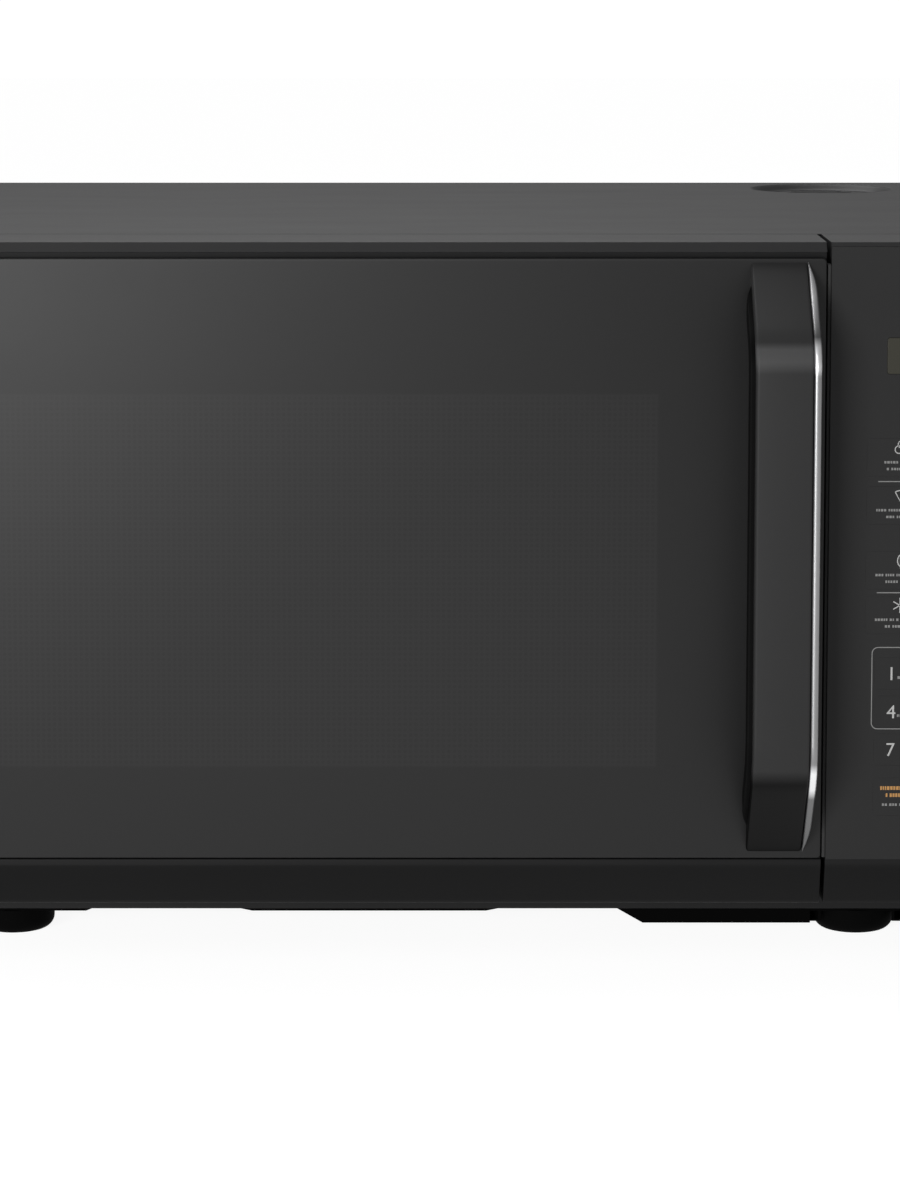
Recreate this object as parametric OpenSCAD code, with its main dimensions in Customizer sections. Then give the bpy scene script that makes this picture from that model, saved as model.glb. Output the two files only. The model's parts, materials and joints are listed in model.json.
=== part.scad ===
// Countertop microwave oven with a side-hinged door, a turntable and a push-key panel.
// Millimetres. +X is the oven's right, +Y its rear, +Z up; the origin is on the floor,
// under the middle of the oven's bounding box.

/* [Case] */
// Width of the case
body_w = 488; // [480:1:500]
// Height from the floor to the top of the cover
body_h = 292; // [288:1:300]
// Depth from the handle's front to the rear stand-offs
body_d = 404; // [400:1:420]
// Height of the flat part of the case bottom above the floor
base_z = 11.5; // [10.5:0.5:12]
// Radius of the cover's upper edges
cover_r = 9; // [6:0.5:12]
// Thickness of the sheet metal
sheet = 1; // [0.8:0.1:1.2]
// Depth of the rear stand-offs
standoff_d = 6; // [4:0.5:8]

/* [Door] */
// Thickness of the door
door_t = 43; // [40:0.5:46]
// Height of the door's lower edge above the floor
door_z = 23; // [21:0.5:25]
// Where the door ends and the control panel begins, from the middle of the case
split_x = 141; // [138:0.5:148]
// Gap between the door and the control panel
split_gap = 1.6; // [1.4:0.1:2.4]
// Distance of the hinge axis from the door's left side
hinge_side = 8; // [7:0.5:9]
// Distance of the hinge axis from the door's back
hinge_back = 12; // [11:0.5:13]
// Thickness of the door's front glass
glass_t = 2.4; // [2:0.1:3]

/* [Handle] */
// How far the handle stands in front of the door
handle_proud = 32; // [28:1:36]
// Width of the handle with its bright edge
handle_w = 25.6; // [22:0.2:30]
// Thickness of the handle bar
handle_t = 12; // [10:0.5:14]
// Width of the bright edge strip
trim_w = 3.2; // [2.5:0.1:4]

/* [Oven] */
// Width of the oven cavity
oven_w = 324; // [316:1:326]
// Height of the oven cavity
oven_h = 214; // [208:1:216]
// Depth of the oven cavity
oven_d = 305; // [300:1:308]
// Middle of the oven cavity, from the middle of the case
oven_x = -60; // [-62:1:-58]
// Height of the oven floor
oven_z = 44; // [43:1:46]
// Radius of the glass tray
tray_r = 135; // [128:1:138]

/* [Turntable] */
// Radius of the circle on which the rollers run
track_r = 96; // [90:1:100]
// Radius of a roller
roller_r = 8; // [7:0.5:9]

/* [Keys] */
// Width of a number key
key_w = 19.5; // [16:0.5:21]
// Distance from one key column to the next
key_pitch = 22.25; // [22:0.25:23]
// Clearance around each key
key_gap = 0.2; // [0.15:0.05:0.3]

/* [Hidden] */
$fn = 64;

// Planes from front to back
half_w = body_w / 2;
face_y = -body_d / 2 + handle_proud;
door_back = face_y + door_t;
plate_y = door_back + 1;
case_y = body_d / 2 - standoff_d;
door_x1 = split_x - split_gap / 2;
panel_x0 = split_x + split_gap / 2;

// Door and panel heights
face_z0 = 43;
face_z1 = body_h - 6;
chin_z = face_z0 - 3;
hinge_x = -half_w + hinge_side;
hinge_y = door_back - hinge_back;

// Oven cavity
wall = 0.8;
oven_x0 = oven_x - oven_w / 2;
oven_x1 = oven_x + oven_w / 2;
oven_y0 = plate_y + sheet;
oven_y1 = oven_y0 + oven_d;
oven_z1 = oven_z + oven_h;
turn_y = oven_y0 + oven_d / 2;

// Turntable
roller_gap = 0.3;
roller_w = 7;
axle_r = 1.5;
axle_z = oven_z + roller_gap + roller_r;
tray_z = axle_z + roller_r + roller_gap;
motor_h = 18;
motor_z = oven_z - wall - 0.1 - motor_h;
stem_r = 3.5;
stem_fit = 0.05;

// Door insides
pocket_x0 = -half_w + 8;
pocket_x1 = oven_x1 + 13;
pocket_z0 = door_z + 8;
pocket_z1 = body_h - 19;
window_x0 = oven_x - 134;
window_x1 = oven_x + 134;
window_z0 = 80;
window_z1 = 232;
front_wall = 4.6;

// Hinge pins, below and above the pocket in the door
pin_r = 3;
pin_h = 5.4;
hinge_plate_z = [door_z, body_h - 9];

// Latch
latch_x = 122;
hook_t = 4;
hook_z = [92, 232];
hook_h = 8;
hook_travel = 4;
spring_h = 15.4;
slot_w = 12;
slot_h = 24;

// Handle
handle_x1 = door_x1 - 4.8;
handle_x0 = handle_x1 - handle_w;
handle_z0 = 46;
handle_z1 = 284;
grip_z0 = 83;
grip_z1 = 254;

// Base plate
foot_h = base_z - 1.2;
foot_r = 16.5;
foot_xy = [[-191, plate_y + 17], [160, plate_y + 17], [-191, case_y - 46], [160, case_y - 46]];
deep_z = base_z - 6.3;
lip_h = 12;

// Control panel: middle and rows of the keys, as heights above the floor
panel_x = (panel_x0 + half_w) / 2;
overlay_t = 1.2;
preset_w = 33;
preset_h = 15;
digit_h = 12.5;
preset_rows = [206, 186.7, 160.5, 142.4];
digit_rows = [118.6, 103.1, 87.6];
last_row = 68.3;
key_t = 2.4;
board_y = face_y + 21;
switch_t = 1.6;
key_press = 0.5;
display_x0 = panel_x - 28.5;
display_x1 = panel_x + 28.5;
display_z0 = 239.5;
display_z1 = 254;

// Cooling fan, behind the magnetron
fan_x = 184;
fan_z = 196;
fan_r = 42;
fan_y = case_y - 28;
gland_x = 214;
gland_z = 46;
gland_r = 7;

// A block between two opposite corners
module block(a, b) {
    translate(a) cube(b - a);
}

// Extrudes an X-Z outline from y0 to y1
module along_y(y0, y1) {
    translate([0, y1, 0]) rotate([90, 0, 0]) linear_extrude(y1 - y0) children();
}

// Extrudes a Y-Z outline from x0 to x1
module along_x(x0, x1) {
    translate([x0, 0, 0]) rotate([90, 0, 90]) linear_extrude(x1 - x0) children();
}

// A round bar along +Y
module bar_y(p, r, h) {
    translate(p) rotate([-90, 0, 0]) cylinder(r = r, h = h);
}

// A round bar along +X
module bar_x(p, r, h) {
    translate(p) rotate([0, 90, 0]) cylinder(r = r, h = h);
}

// A flat plate with rounded corners, standing in the X-Z plane
module round_plate(x0, x1, z0, z1, y0, y1, r) {
    along_y(y0, y1) {
        translate([x0, z0 + r]) square([x1 - x0, z1 - z0 - 2 * r]);
        translate([x0 + r, z0]) square([x1 - x0 - 2 * r, z1 - z0]);
        for (x = [x0 + r, x1 - r], z = [z0 + r, z1 - r])
            translate([x, z]) circle(r);
    }
}

// The cover's cross-section as a solid: flat sides and rounded upper edges
module arch(inset, y0, y1, z0) {
    x = half_w - inset;
    z = body_h - inset;
    r = cover_r - inset;
    block([-x, y0, z0], [x, y1, z - r]);
    block([-x + r, y0, z0], [x - r, y1, z]);
    for (side = [-1, 1])
        bar_y([side * (x - r), y0, z - r], r, y1 - y0);
}

// ---- Case ----

vent_x = 170;
vent_y = case_y - 42;
vent_r = 34;
vent_drop = 3;

// A round vent dish pressed into the cover's top
module vent_disc(r, z0, z1) {
    translate([vent_x, vent_y, z0]) cylinder(r = r, h = z1 - z0);
}

module side_louvres(x0, x1, y0, count, z0, rows) {
    for (i = [0 : count - 1], k = [0 : rows - 1])
        block([x0, y0 + i * 7, z0 + k * 34], [x1, y0 + i * 7 + 3, z0 + k * 34 + 26]);
}

module outer_cover() {
    color("#3b3c3e") difference() {
        union() {
            difference() {
                arch(0, plate_y, case_y, base_z);
                arch(sheet, plate_y - 1, case_y + 1, base_z - 1);
                vent_disc(vent_r, body_h - sheet - 0.1, body_h + 1);
            }
            difference() {
                vent_disc(vent_r, body_h - vent_drop - sheet, body_h - 0.2);
                vent_disc(vent_r - sheet, body_h - vent_drop, body_h + 1);
            }
        }
        for (i = [-3 : 3])
            block([vent_x - 24 + abs(i) * 4, vent_y + i * 8 - 1.5, body_h - vent_drop - 2],
                  [vent_x + 24 - abs(i) * 4, vent_y + i * 8 + 1.5, body_h]);
        side_louvres(half_w - 3, half_w + 1, -60, 14, 60, 2);
        side_louvres(-half_w - 1, -half_w + 3, 60, 12, 190, 2);
    }
}

rear_screws = [[-225, 276], [225, 276], [-232, 30], [232, 30], [-232, 160], [232, 160]];

module rear_panel() {
    y0 = case_y - sheet;
    color("#7d8084") difference() {
        union() {
            arch(sheet + 0.1, y0, case_y, base_z + sheet + 0.1);
            for (x = [-150, 60], z = [70, 250])
                bar_y([x, case_y, z], 9, standoff_d);
        }
        for (x = [-150, 60], z = [70, 250])
            bar_y([x, y0 - 1, z], 7.8, standoff_d);
        for (a = [0 : 7], k = [0 : 7])
            bar_y([fan_x - 28 + a * 8, y0 - 1, fan_z - 28 + k * 8], 2.6, 4);
        for (a = [0 : 12], k = [0 : 3])
            bar_y([-140 + a * 8, y0 - 1, 262 + k * 7 - 14], 2, 4);
        bar_y([gland_x, y0 - 1, gland_z], gland_r + 2, 4);
        for (p = rear_screws)
            bar_y([p[0], y0 - 1, p[1]], 2.1, 4);
    }
}

// Lower surface of the base, left to right, with its pressed areas
base_line = [
    [-half_w + 1.2, base_z], [-236, base_z], [-233, foot_h], [-160, foot_h], [-157, base_z],
    [-97, base_z], [-91, foot_h], [6, foot_h], [12, base_z], [60, base_z], [71, deep_z],
    [231, deep_z], [236, base_z], [half_w - 1.2, base_z]
];

module base_plate() {
    top_line = [for (i = [len(base_line) - 1 : -1 : 0]) base_line[i] + [0, sheet]];
    edge = half_w - 1.2;
    rim = [[edge, base_z + lip_h], [-edge, base_z + lip_h]];
    y0 = oven_y0;
    y1 = case_y - sheet;
    color("#8b8e91") difference() {
        union() {
            difference() {
                along_y(y0, y1) polygon(concat(base_line, top_line));
                for (i = [1, 3])
                    translate([foot_xy[i][0], foot_xy[i][1], 0]) cylinder(r = foot_r + 3, h = base_z);
            }
            for (i = [1, 3])
                translate([foot_xy[i][0], foot_xy[i][1], deep_z]) difference() {
                    cylinder(r = foot_r + 4, h = foot_h - deep_z + sheet);
                    translate([0, 0, -1]) cylinder(r = foot_r + 3, h = foot_h - deep_z + 1);
                }
            along_y(y0, y0 + sheet) polygon(concat(base_line, rim));
            along_y(y1 - sheet, y1) polygon(concat(base_line, rim));
            for (x = [-edge, edge - sheet])
                block([x, y0, base_z], [x + sheet, y1, base_z + lip_h]);
        }
        for (p = foot_xy)
            translate([p[0], p[1], 0]) cylinder(r = 2.2, h = base_z + 3);
        block([foot_xy[1][0] - foot_r - 3, y0 - 1, deep_z - 1], [foot_xy[1][0] + foot_r + 3, y0 + 3, foot_h]);
        block([foot_xy[1][0] - 30, y0 - 8, 0], [foot_xy[1][0] + 30, y0, base_z + 2]);
        for (i = [0 : 9], k = [0 : 1])
            block([84 + i * 14, -40 + k * 70, deep_z - 1], [90 + i * 14, 10 + k * 70, base_z]);
    }
}

module foot() {
    rotate_extrude() polygon([
        [0, 0], [11, 0], [14.2, 1.2], [16, 3.6], [foot_r, 6.5], [foot_r, foot_h], [0, foot_h]
    ]);
    translate([0, 0, foot_h]) cylinder(r = 2, h = 5);
}

module feet() {
    color("#141414")
        for (p = foot_xy)
            translate([p[0], p[1], 0]) foot();
}

module front_plate() {
    slots_x = [latch_x - slot_w / 2, latch_x + slot_w / 2];
    color("#2a2b2c") difference() {
        arch(sheet + 0.1, plate_y, oven_y0, base_z);
        block([oven_x0, plate_y - 1, oven_z], [oven_x1, oven_y0 + 1, oven_z1]);
        block([panel_x0 + 10, plate_y - 1, 50], [half_w - 8, oven_y0 + 1, 275]);
        for (z = hook_z)
            block([slots_x[0], plate_y - 1, z - slot_h / 2], [slots_x[1], oven_y0 + 1, z + slot_h / 2]);
    }
}

module oven_cavity() {
    hole_y = turn_y + 96;
    color("#b9bbb8") difference() {
        block([oven_x0 - wall, oven_y0, oven_z - wall], [oven_x1 + wall, oven_y1 + wall, oven_z1 + wall]);
        block([oven_x0, oven_y0 - 1, oven_z], [oven_x1, oven_y1, oven_z1]);
        translate([oven_x, turn_y, oven_z - 3]) cylinder(r = 8, h = 6);
        block([oven_x1 - 1, turn_y - 40, oven_z + 130], [oven_x1 + 2, turn_y + 40, oven_z + 190]);
        for (a = [0 : 6], k = [0 : 4])
            bar_x([oven_x1 - 1, hole_y + a * 6, oven_z + 168 + k * 6], 1.6, 3);
        for (a = [0 : 7], k = [0 : 3])
            bar_x([oven_x0 - 2, turn_y - 90 + a * 7, oven_z + 180 + k * 7], 1.8, 3);
    }
}

module case_screws() {
    color("#c9cbcc")
        for (p = rear_screws) {
            bar_y([p[0], case_y - 8, p[1]], 1.9, 8);
            bar_y([p[0], case_y, p[1]], 3.8, 1.8);
        }
}

module cord_gland() {
    color("#161616") difference() {
        union() {
            bar_y([gland_x, case_y - sheet - 5, gland_z], gland_r + 4, 4.9);
            bar_y([gland_x, case_y - sheet - 0.1, gland_z], gland_r + 1.95, sheet + 0.2);
            bar_y([gland_x, case_y + 0.1, gland_z], gland_r + 4, 4.4);
        }
        bar_y([gland_x, case_y - 12, gland_z], gland_r - 3, 24);
    }
}

// ---- Microwave and cooling parts ----

guide_x = oven_x1 + wall;

module waveguide() {
    a = [guide_x, turn_y - 44, oven_z + 126];
    b = [guide_x + 24, turn_y + 44, oven_z + 194];
    color("#c4c6c7") difference() {
        block(a, b);
        block(a + [-1, 1.2, 1.2], b - [1.2, 1.2, 1.2]);
        bar_x([guide_x + 20, turn_y, oven_z + 158], 12, 8);
    }
}

module waveguide_cover() {
    color("#d9d2bd")
        block([oven_x1 - 0.8, turn_y - 50, oven_z + 122], [oven_x1 - 0.1, turn_y + 50, oven_z + 196]);
}

module magnetron() {
    x0 = guide_x + 24.1;
    z0 = oven_z + 118;
    color("#9aa0a6") {
        difference() {
            block([x0, turn_y - 42, z0], [x0 + 84, turn_y + 42, z0 + 80]);
            block([x0 + 3, turn_y - 60, z0 + 3], [x0 + 81, turn_y + 60, z0 + 77]);
        }
        for (i = [0 : 6])
            block([x0 + 24 + i * 6, turn_y - 38, z0 + 2], [x0 + 25 + i * 6, turn_y + 38, z0 + 78]);
        bar_x([x0 + 2, turn_y, z0 + 40], 19, 80);
        bar_x([x0 - 14, turn_y, z0 + 40], 9, 16);
    }
}

module air_duct() {
    x0 = guide_x + 26;
    y0 = turn_y + 42.5;
    y1 = fan_y - 16.5;
    color("#e8e6df") difference() {
        block([x0, y0, oven_z + 112], [x0 + 84, y1, oven_z + 204]);
        block([x0 + 2, y0 - 1, oven_z + 114], [x0 + 82, y1 + 1, oven_z + 202]);
    }
}

module fan_housing() {
    s = fan_r + 5;
    y0 = fan_y - 16;
    y1 = fan_y + 18;
    color("#20262b") difference() {
        union() {
            difference() {
                block([fan_x - s, y0, fan_z - s], [fan_x + s, y1, fan_z + s]);
                bar_y([fan_x, y0 + 1.6, fan_z], fan_r + 2, 60);
                bar_y([fan_x, y0 - 1, fan_z], fan_r - 6, 4);
            }
            for (a = [0 : 60 : 120])
                translate([fan_x, y1 - 4.5, fan_z]) rotate([0, a, 0])
                    block([-fan_r - 3.5, 0, -2.5], [fan_r + 3.5, 4, 2.5]);
        }
        bar_y([fan_x, y1 - 6, fan_z], 2.2, 8);
    }
}

module fan_motor() {
    color("#8f7b52") difference() {
        union() {
            bar_y([fan_x, fan_y + 6, fan_z], 14, 7.5);
            block([fan_x - 20, fan_y + 7, fan_z - 9], [fan_x + 20, fan_y + 13, fan_z + 9]);
        }
        bar_y([fan_x, fan_y + 2, fan_z], 2.05, 14);
    }
}

module fan_blade() {
    blades = 7;
    color("#e9e9e4") {
        bar_y([fan_x, fan_y - 12, fan_z], 9, 14);
        bar_y([fan_x, fan_y - 12, fan_z], 2, 22);
        for (i = [0 : blades - 1])
            translate([fan_x, fan_y - 5, fan_z]) rotate([0, i * 360 / blades, 0])
                rotate([32, 0, 0]) block([6, -0.8, -7.5], [fan_r - 1, 0.8, 7.5]);
    }
}

module transformer() {
    x0 = 152;
    y0 = -70;
    z0 = deep_z + sheet + 0.2;
    color("#3c3f42") difference() {
        block([x0, y0, z0], [x0 + 78, y0 + 62, z0 + 66]);
        for (x = [x0 + 12, x0 + 48])
            block([x, y0 - 1, z0 + 13], [x + 18, y0 + 63, z0 + 53]);
    }
    color("#a5532a")
        for (y = [y0 - 12, y0 + 62])
            block([x0 + 12.2, y, z0 + 13.2], [x0 + 65.8, y + 12, z0 + 52.8]);
    color("#3c3f42")
        for (y = [y0 + 2, y0 + 48])
            block([x0 - 8, y, z0], [x0, y + 12, z0 + 2]);
}

module capacitor() {
    x0 = 160;
    x1 = 190;
    y0 = 40;
    y1 = 118;
    r = 16;
    z = deep_z + sheet + 0.2 + r;
    color("#b4b7ba") {
        block([x0, y0, z - r], [x1, y1, z + r]);
        for (x = [x0, x1])
            bar_y([x, y0, z], r, y1 - y0);
        for (x = [x0 + 6, x1 - 6])
            bar_y([x, y1, z], 3, 10);
    }
}

module cavity_lamp() {
    y = turn_y + 114;
    z = oven_z + 180;
    color("#e6c67a") {
        bar_x([oven_x1 + wall + 2, y, z], 9, 18);
        block([oven_x1 + wall + 20, y - 10, z - 10], [oven_x1 + wall + 26, y + 10, z + 10]);
    }
}

module turntable_motor() {
    color("#b8bcc0") difference() {
        union() {
            translate([oven_x, turn_y, motor_z]) cylinder(r = 25, h = motor_h);
            block([oven_x - 32, turn_y - 6, motor_z + motor_h - 2], [oven_x + 32, turn_y + 6, motor_z + motor_h]);
        }
        translate([oven_x, turn_y, motor_z + 4]) cylinder(r = stem_r + stem_fit, h = motor_h);
    }
}

// ---- Door interlock ----

module latch_board() {
    color("#e4e2da") difference() {
        block([latch_x - 11, oven_y0 + 0.1, 60], [latch_x + 13, oven_y0 + 46, 262]);
        for (z = hook_z)
            block([latch_x - slot_w / 2, oven_y0 - 1, z - slot_h / 2],
                  [latch_x + slot_w / 2, oven_y0 + 34, z + slot_h / 2]);
        block([latch_x - 9, oven_y0 + 4, 112], [latch_x + 14, oven_y0 + 47, 212]);
    }
}

module interlock_switches() {
    x = latch_x + 13.1;
    color("#20242a")
        for (z = [96, 124, 228]) {
            block([x, oven_y0 + 12, z - 8], [x + 10, oven_y0 + 40, z + 8]);
            block([x + 2, oven_y0 + 40, z - 5], [x + 8, oven_y0 + 46, z - 3]);
            block([x + 2, oven_y0 + 40, z + 3], [x + 8, oven_y0 + 46, z + 5]);
        }
}

module hinge_brackets() {
    plate_t = 2;
    color("#9fa3a6")
        for (top = [0, 1]) {
            z = hinge_plate_z[top];
            difference() {
                block([hinge_x - 5, hinge_y - 5, z], [hinge_x + 8, plate_y - 0.1, z + plate_t]);
                translate([hinge_x + 8, hinge_y - 5, z - 1]) cylinder(r = 5, h = 4);
            }
            translate([hinge_x, hinge_y, top ? z - pin_h : z]) cylinder(r = pin_r, h = pin_h + plate_t);
            block([hinge_x - 3, plate_y - 1.9, z - 6], [hinge_x + 22, plate_y - 0.1, z + 7]);
        }
}

// ---- Control panel ----

// Outer Y-Z outline of the door and the panel; recess is the depth left for a front plate
function front_outline(recess, z_top) = [
    [door_back, door_z], [face_y + 7.5, door_z], [face_y + 6.3, door_z + 1.4],
    [face_y + 0.8, chin_z], [face_y + 0.8, face_z0 - 0.4], [face_y + recess, face_z0 - 0.4],
    [face_y + recess, z_top], [face_y, z_top], [face_y + (body_h - z_top), body_h],
    [door_back, body_h]
];

function preset_x(i) = panel_x + (i % 2 == 0 ? -1 : 1) * (preset_w + 6) / 2;

function preset_z(i) = preset_rows[floor(i / 2)];

// One key: its visible pad and the stem that reaches the switch
module key(x, z, w, h) {
    round_plate(x - w / 2, x + w / 2, z - h / 2, z + h / 2, face_y, face_y + key_t, 1.5);
    bar_y([x, face_y + key_t, z], 2.4, board_y - switch_t - key_press - 0.1 - face_y - key_t);
}

module key_hole(x, z, w, h) {
    round_plate(x - w / 2 - key_gap, x + w / 2 + key_gap, z - h / 2 - key_gap, z + h / 2 + key_gap,
                face_y - 1, face_y + 6, 1.5 + key_gap);
}

// Calls key_hole() or key() for every key
module every_key_hole() {
    for (i = [0 : 7])
        key_hole(preset_x(i), preset_z(i), preset_w, preset_h);
    for (z = digit_rows, c = [-1 : 1])
        key_hole(panel_x + c * key_pitch, z, key_w, digit_h);
    for (c = [-1 : 1])
        key_hole(panel_x + c * key_pitch, last_row, key_w, preset_h);
}

module preset_key(i) {
    color("#303133") key(preset_x(i), preset_z(i), preset_w, preset_h);
}

module digit_key(n) {
    color("#303133")
        key(panel_x + ((n - 1) % 3 - 1) * key_pitch, digit_rows[floor((n - 1) / 3)], key_w, digit_h);
}

module bottom_key(column) {
    color("#303133") key(panel_x + column * key_pitch, last_row, key_w, preset_h);
}

module display_hole(grow) {
    round_plate(display_x0 - grow, display_x1 + grow, display_z0 - grow, display_z1 + grow,
                face_y - 1, face_y + 6, 1 + grow);
}

module control_panel_frame() {
    z_top = body_h - 1.6;
    color("#242526") difference() {
        along_x(panel_x0, half_w) polygon(front_outline(overlay_t, z_top));
        block([panel_x0 + 2.4, face_y + 4, face_z0], [half_w - 2.4, door_back + 1, body_h - 4]);
        every_key_hole();
        display_hole(0.1);
        translate([half_w, face_y, 0]) rotate([0, 0, 45]) block([-4, -4, 0], [4, 1.2, body_h + 1]);
    }
}

module keypad_overlay() {
    z_top = body_h - 1.6;
    color("#2d2e30") difference() {
        block([panel_x0 + 0.1, face_y, face_z0 - 0.3], [half_w - 2, face_y + overlay_t - 0.05, z_top - 0.1]);
        every_key_hole();
        display_hole(0.1);
    }
}

module display_window() {
    color("#3a3622") difference() {
        display_hole(0);
        block([display_x0 - 5, face_y - 2, display_z0 - 5], [display_x1 + 5, face_y, display_z1 + 5]);
        block([display_x0 - 5, face_y + 2.5, display_z0 - 5], [display_x1 + 5, face_y + 9, display_z1 + 5]);
    }
}

module switch_at(x, z) {
    block([x - 3, board_y - switch_t, z - 3], [x + 3, board_y, z + 3]);
}

module control_board() {
    color("#1f5a3a") {
        block([panel_x0 + 6, board_y, 54], [half_w - 6, board_y + 1.6, 272]);
        block([display_x0 + 2, face_y + 7, display_z0 - 1], [display_x1 - 2, board_y, display_z1 + 1]);
        for (i = [0 : 7])
            switch_at(preset_x(i), preset_z(i));
        for (z = concat(digit_rows, [last_row]), c = [-1 : 1])
            switch_at(panel_x + c * key_pitch, z);
        block([160, board_y + 1.6, 90], [190, board_y + 15, 120]);
        for (x = [200, 216])
            block([x, board_y + 1.6, 150], [x + 12, board_y + 14, 170]);
    }
}

// ---- Turntable ----

module turntable_coupler() {
    color("#e6e4dd") translate([oven_x, turn_y, 0]) {
        translate([0, 0, motor_z + 5]) cylinder(r = stem_r, h = oven_z + 2 - motor_z - 5);
        translate([0, 0, oven_z + 1]) cylinder(r = 11, h = 8);
        for (a = [0 : 120 : 240])
            rotate([0, 0, a]) {
                block([0, -4, oven_z + 3], [18, 4, oven_z + 13]);
                translate([18, 0, oven_z + 3]) cylinder(r = 4, h = 10);
            }
    }
}

module roller_ring() {
    in_r = track_r - 12;
    out_r = track_r - 6;
    color("#dcdad2") translate([oven_x, turn_y, axle_z]) {
        rotate_extrude($fn = 120) translate([in_r, -3]) square([out_r - in_r, 6]);
        for (a = [0 : 120 : 240])
            rotate([0, 0, a]) rotate([0, 90, 0])
                translate([0, 0, out_r - 1]) cylinder(r = axle_r, h = roller_w / 2 + 9);
    }
}

// One of three rollers, number i, on its radial stub axle
module roller(i) {
    color("#cfcdc6") translate([oven_x, turn_y, axle_z]) rotate([0, 0, i * 120])
        rotate([0, 90, 0]) translate([0, 0, track_r - roller_w / 2]) difference() {
            cylinder(r = roller_r, h = roller_w);
            translate([0, 0, -1]) cylinder(r = axle_r + 0.06, h = roller_w + 2);
        }
}

module glass_tray() {
    t = 4.5;
    rim_h = 9;
    color("#c8dcd8", 0.5) translate([oven_x, turn_y, tray_z]) {
        rotate_extrude($fn = 180) polygon([
            [0, 0], [tray_r - 14, 0], [tray_r - 4, 2], [tray_r, 7], [tray_r, rim_h],
            [tray_r - 1.5, rim_h + 0.6], [tray_r - 3.4, rim_h], [tray_r - 5.5, 6.5],
            [tray_r - 15, t], [0, t]
        ]);
        for (a = [60 : 120 : 300])
            rotate([0, 0, a]) block([12, -5, -6], [20, 5, 1]);
    }
}

// ---- Door ----

module door_frame() {
    x0 = -half_w;
    y1 = face_y + glass_t + front_wall;
    color("#232425") difference() {
        along_x(x0, door_x1) polygon(front_outline(glass_t, face_z1 + 2));
        // pocket for the screen and the choke, open to the rear
        block([pocket_x0, y1, pocket_z0], [pocket_x1, door_back + 1, pocket_z1]);
        // window in the front wall
        block([window_x0 - 4, face_y, window_z0 - 4], [window_x1 + 4, y1 + 1, window_z1 + 4]);
        // latch channel, closed at the rear but for the hooks' slots
        block([latch_x - 5, y1, hook_z[0] - 14], [latch_x + 5, door_back - 3, hook_z[1] + 20]);
        for (z = hook_z)
            block([latch_x - 4, door_back - 4, z - hook_h / 2 - 2],
                  [latch_x + 4, door_back + 1, z + hook_h / 2 + hook_travel + 2]);
        // hinge bracket notches and pin bores
        for (top = [0, 1]) {
            z = hinge_plate_z[top];
            block([x0 - 1, hinge_y - 8, top ? z - 0.4 : z - 1], [hinge_x + 26, door_back + 1, z + 2.4]);
            translate([hinge_x, hinge_y, top ? z - pin_h - 0.4 : z]) cylinder(r = pin_r + 0.06, h = pin_h + 2.4);
            block([x0 - 1, door_back - 2.2, z - 7], [hinge_x + 24, door_back + 1, z + 8]);
        }
        // clearance of the rear left edge and the eased front left edge
        translate([x0, door_back, 0]) rotate([0, 0, 45]) block([-9, -4.2, 0], [9, 9, body_h + 1]);
        translate([x0, face_y, 0]) rotate([0, 0, 45]) block([-4, -4, 0], [1.2, 4, body_h + 1]);
    }
}

module door_glass() {
    color("#27282a") block([-half_w + 2, face_y, face_z0 + 0.2], [door_x1 - 0.3, face_y + glass_t, face_z1 - 0.2]);
}

module door_screen() {
    y0 = face_y + glass_t + front_wall;
    y1 = door_back - 13;
    color("#303236") difference() {
        union() {
            block([pocket_x0 + 0.2, y0, pocket_z0 + 0.2], [pocket_x1 - 0.2, y0 + sheet, pocket_z1 - 0.2]);
            block([window_x0 - 14, y0, window_z0 - 24], [window_x1 + 14, y1, window_z1 + 14]);
            difference() {
                block([pocket_x0 + 2, y0, pocket_z0 + 2], [pocket_x1 - 2, y1, pocket_z1 - 2]);
                block([pocket_x0 + 3, y0 - 1, pocket_z0 + 3], [pocket_x1 - 3, y1 + 1, pocket_z1 - 3]);
            }
        }
        block([window_x0 - 13, y0 - 1, window_z0 - 23], [window_x1 + 13, y1 - 0.6, window_z1 + 13]);
    }
}

module choke_cover() {
    y0 = door_back - 12.9;
    color("#1c1d1e") difference() {
        union() {
            block([pocket_x0 + 0.4, door_back - 2.6, pocket_z0 + 0.4],
                  [pocket_x1 - 0.4, door_back - 0.4, pocket_z1 - 0.4]);
            block([window_x0 - 10, y0, window_z0 - 20], [window_x1 + 10, door_back - 0.4, window_z1 + 10]);
        }
        block([window_x0 - 6, y0 - 1, window_z0 - 16], [window_x1 + 6, door_back + 1, window_z1 + 6]);
    }
}

// Side outline of the handle: a bar that leans out of the door at both ends
module handle_outline() {
    front = face_y - handle_proud;
    back = front + handle_t;
    polygon([
        [face_y, handle_z0], [front + 5, grip_z0 - 8], [front, grip_z0 + 3], [front, grip_z1 - 3],
        [front + 4, grip_z1 + 4], [face_y, handle_z1], [face_y, handle_z1 - 14], [back + 3, grip_z1 - 5],
        [back, grip_z1 - 12], [back, grip_z0 + 12], [back + 3, grip_z0 + 4], [face_y, handle_z0 + 18]
    ]);
}

module door_handle() {
    color("#38393b") along_x(handle_x0, handle_x1 - trim_w) handle_outline();
}

module handle_trim() {
    color("#c8cacc") along_x(handle_x1 - trim_w, handle_x1) handle_outline();
}

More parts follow.
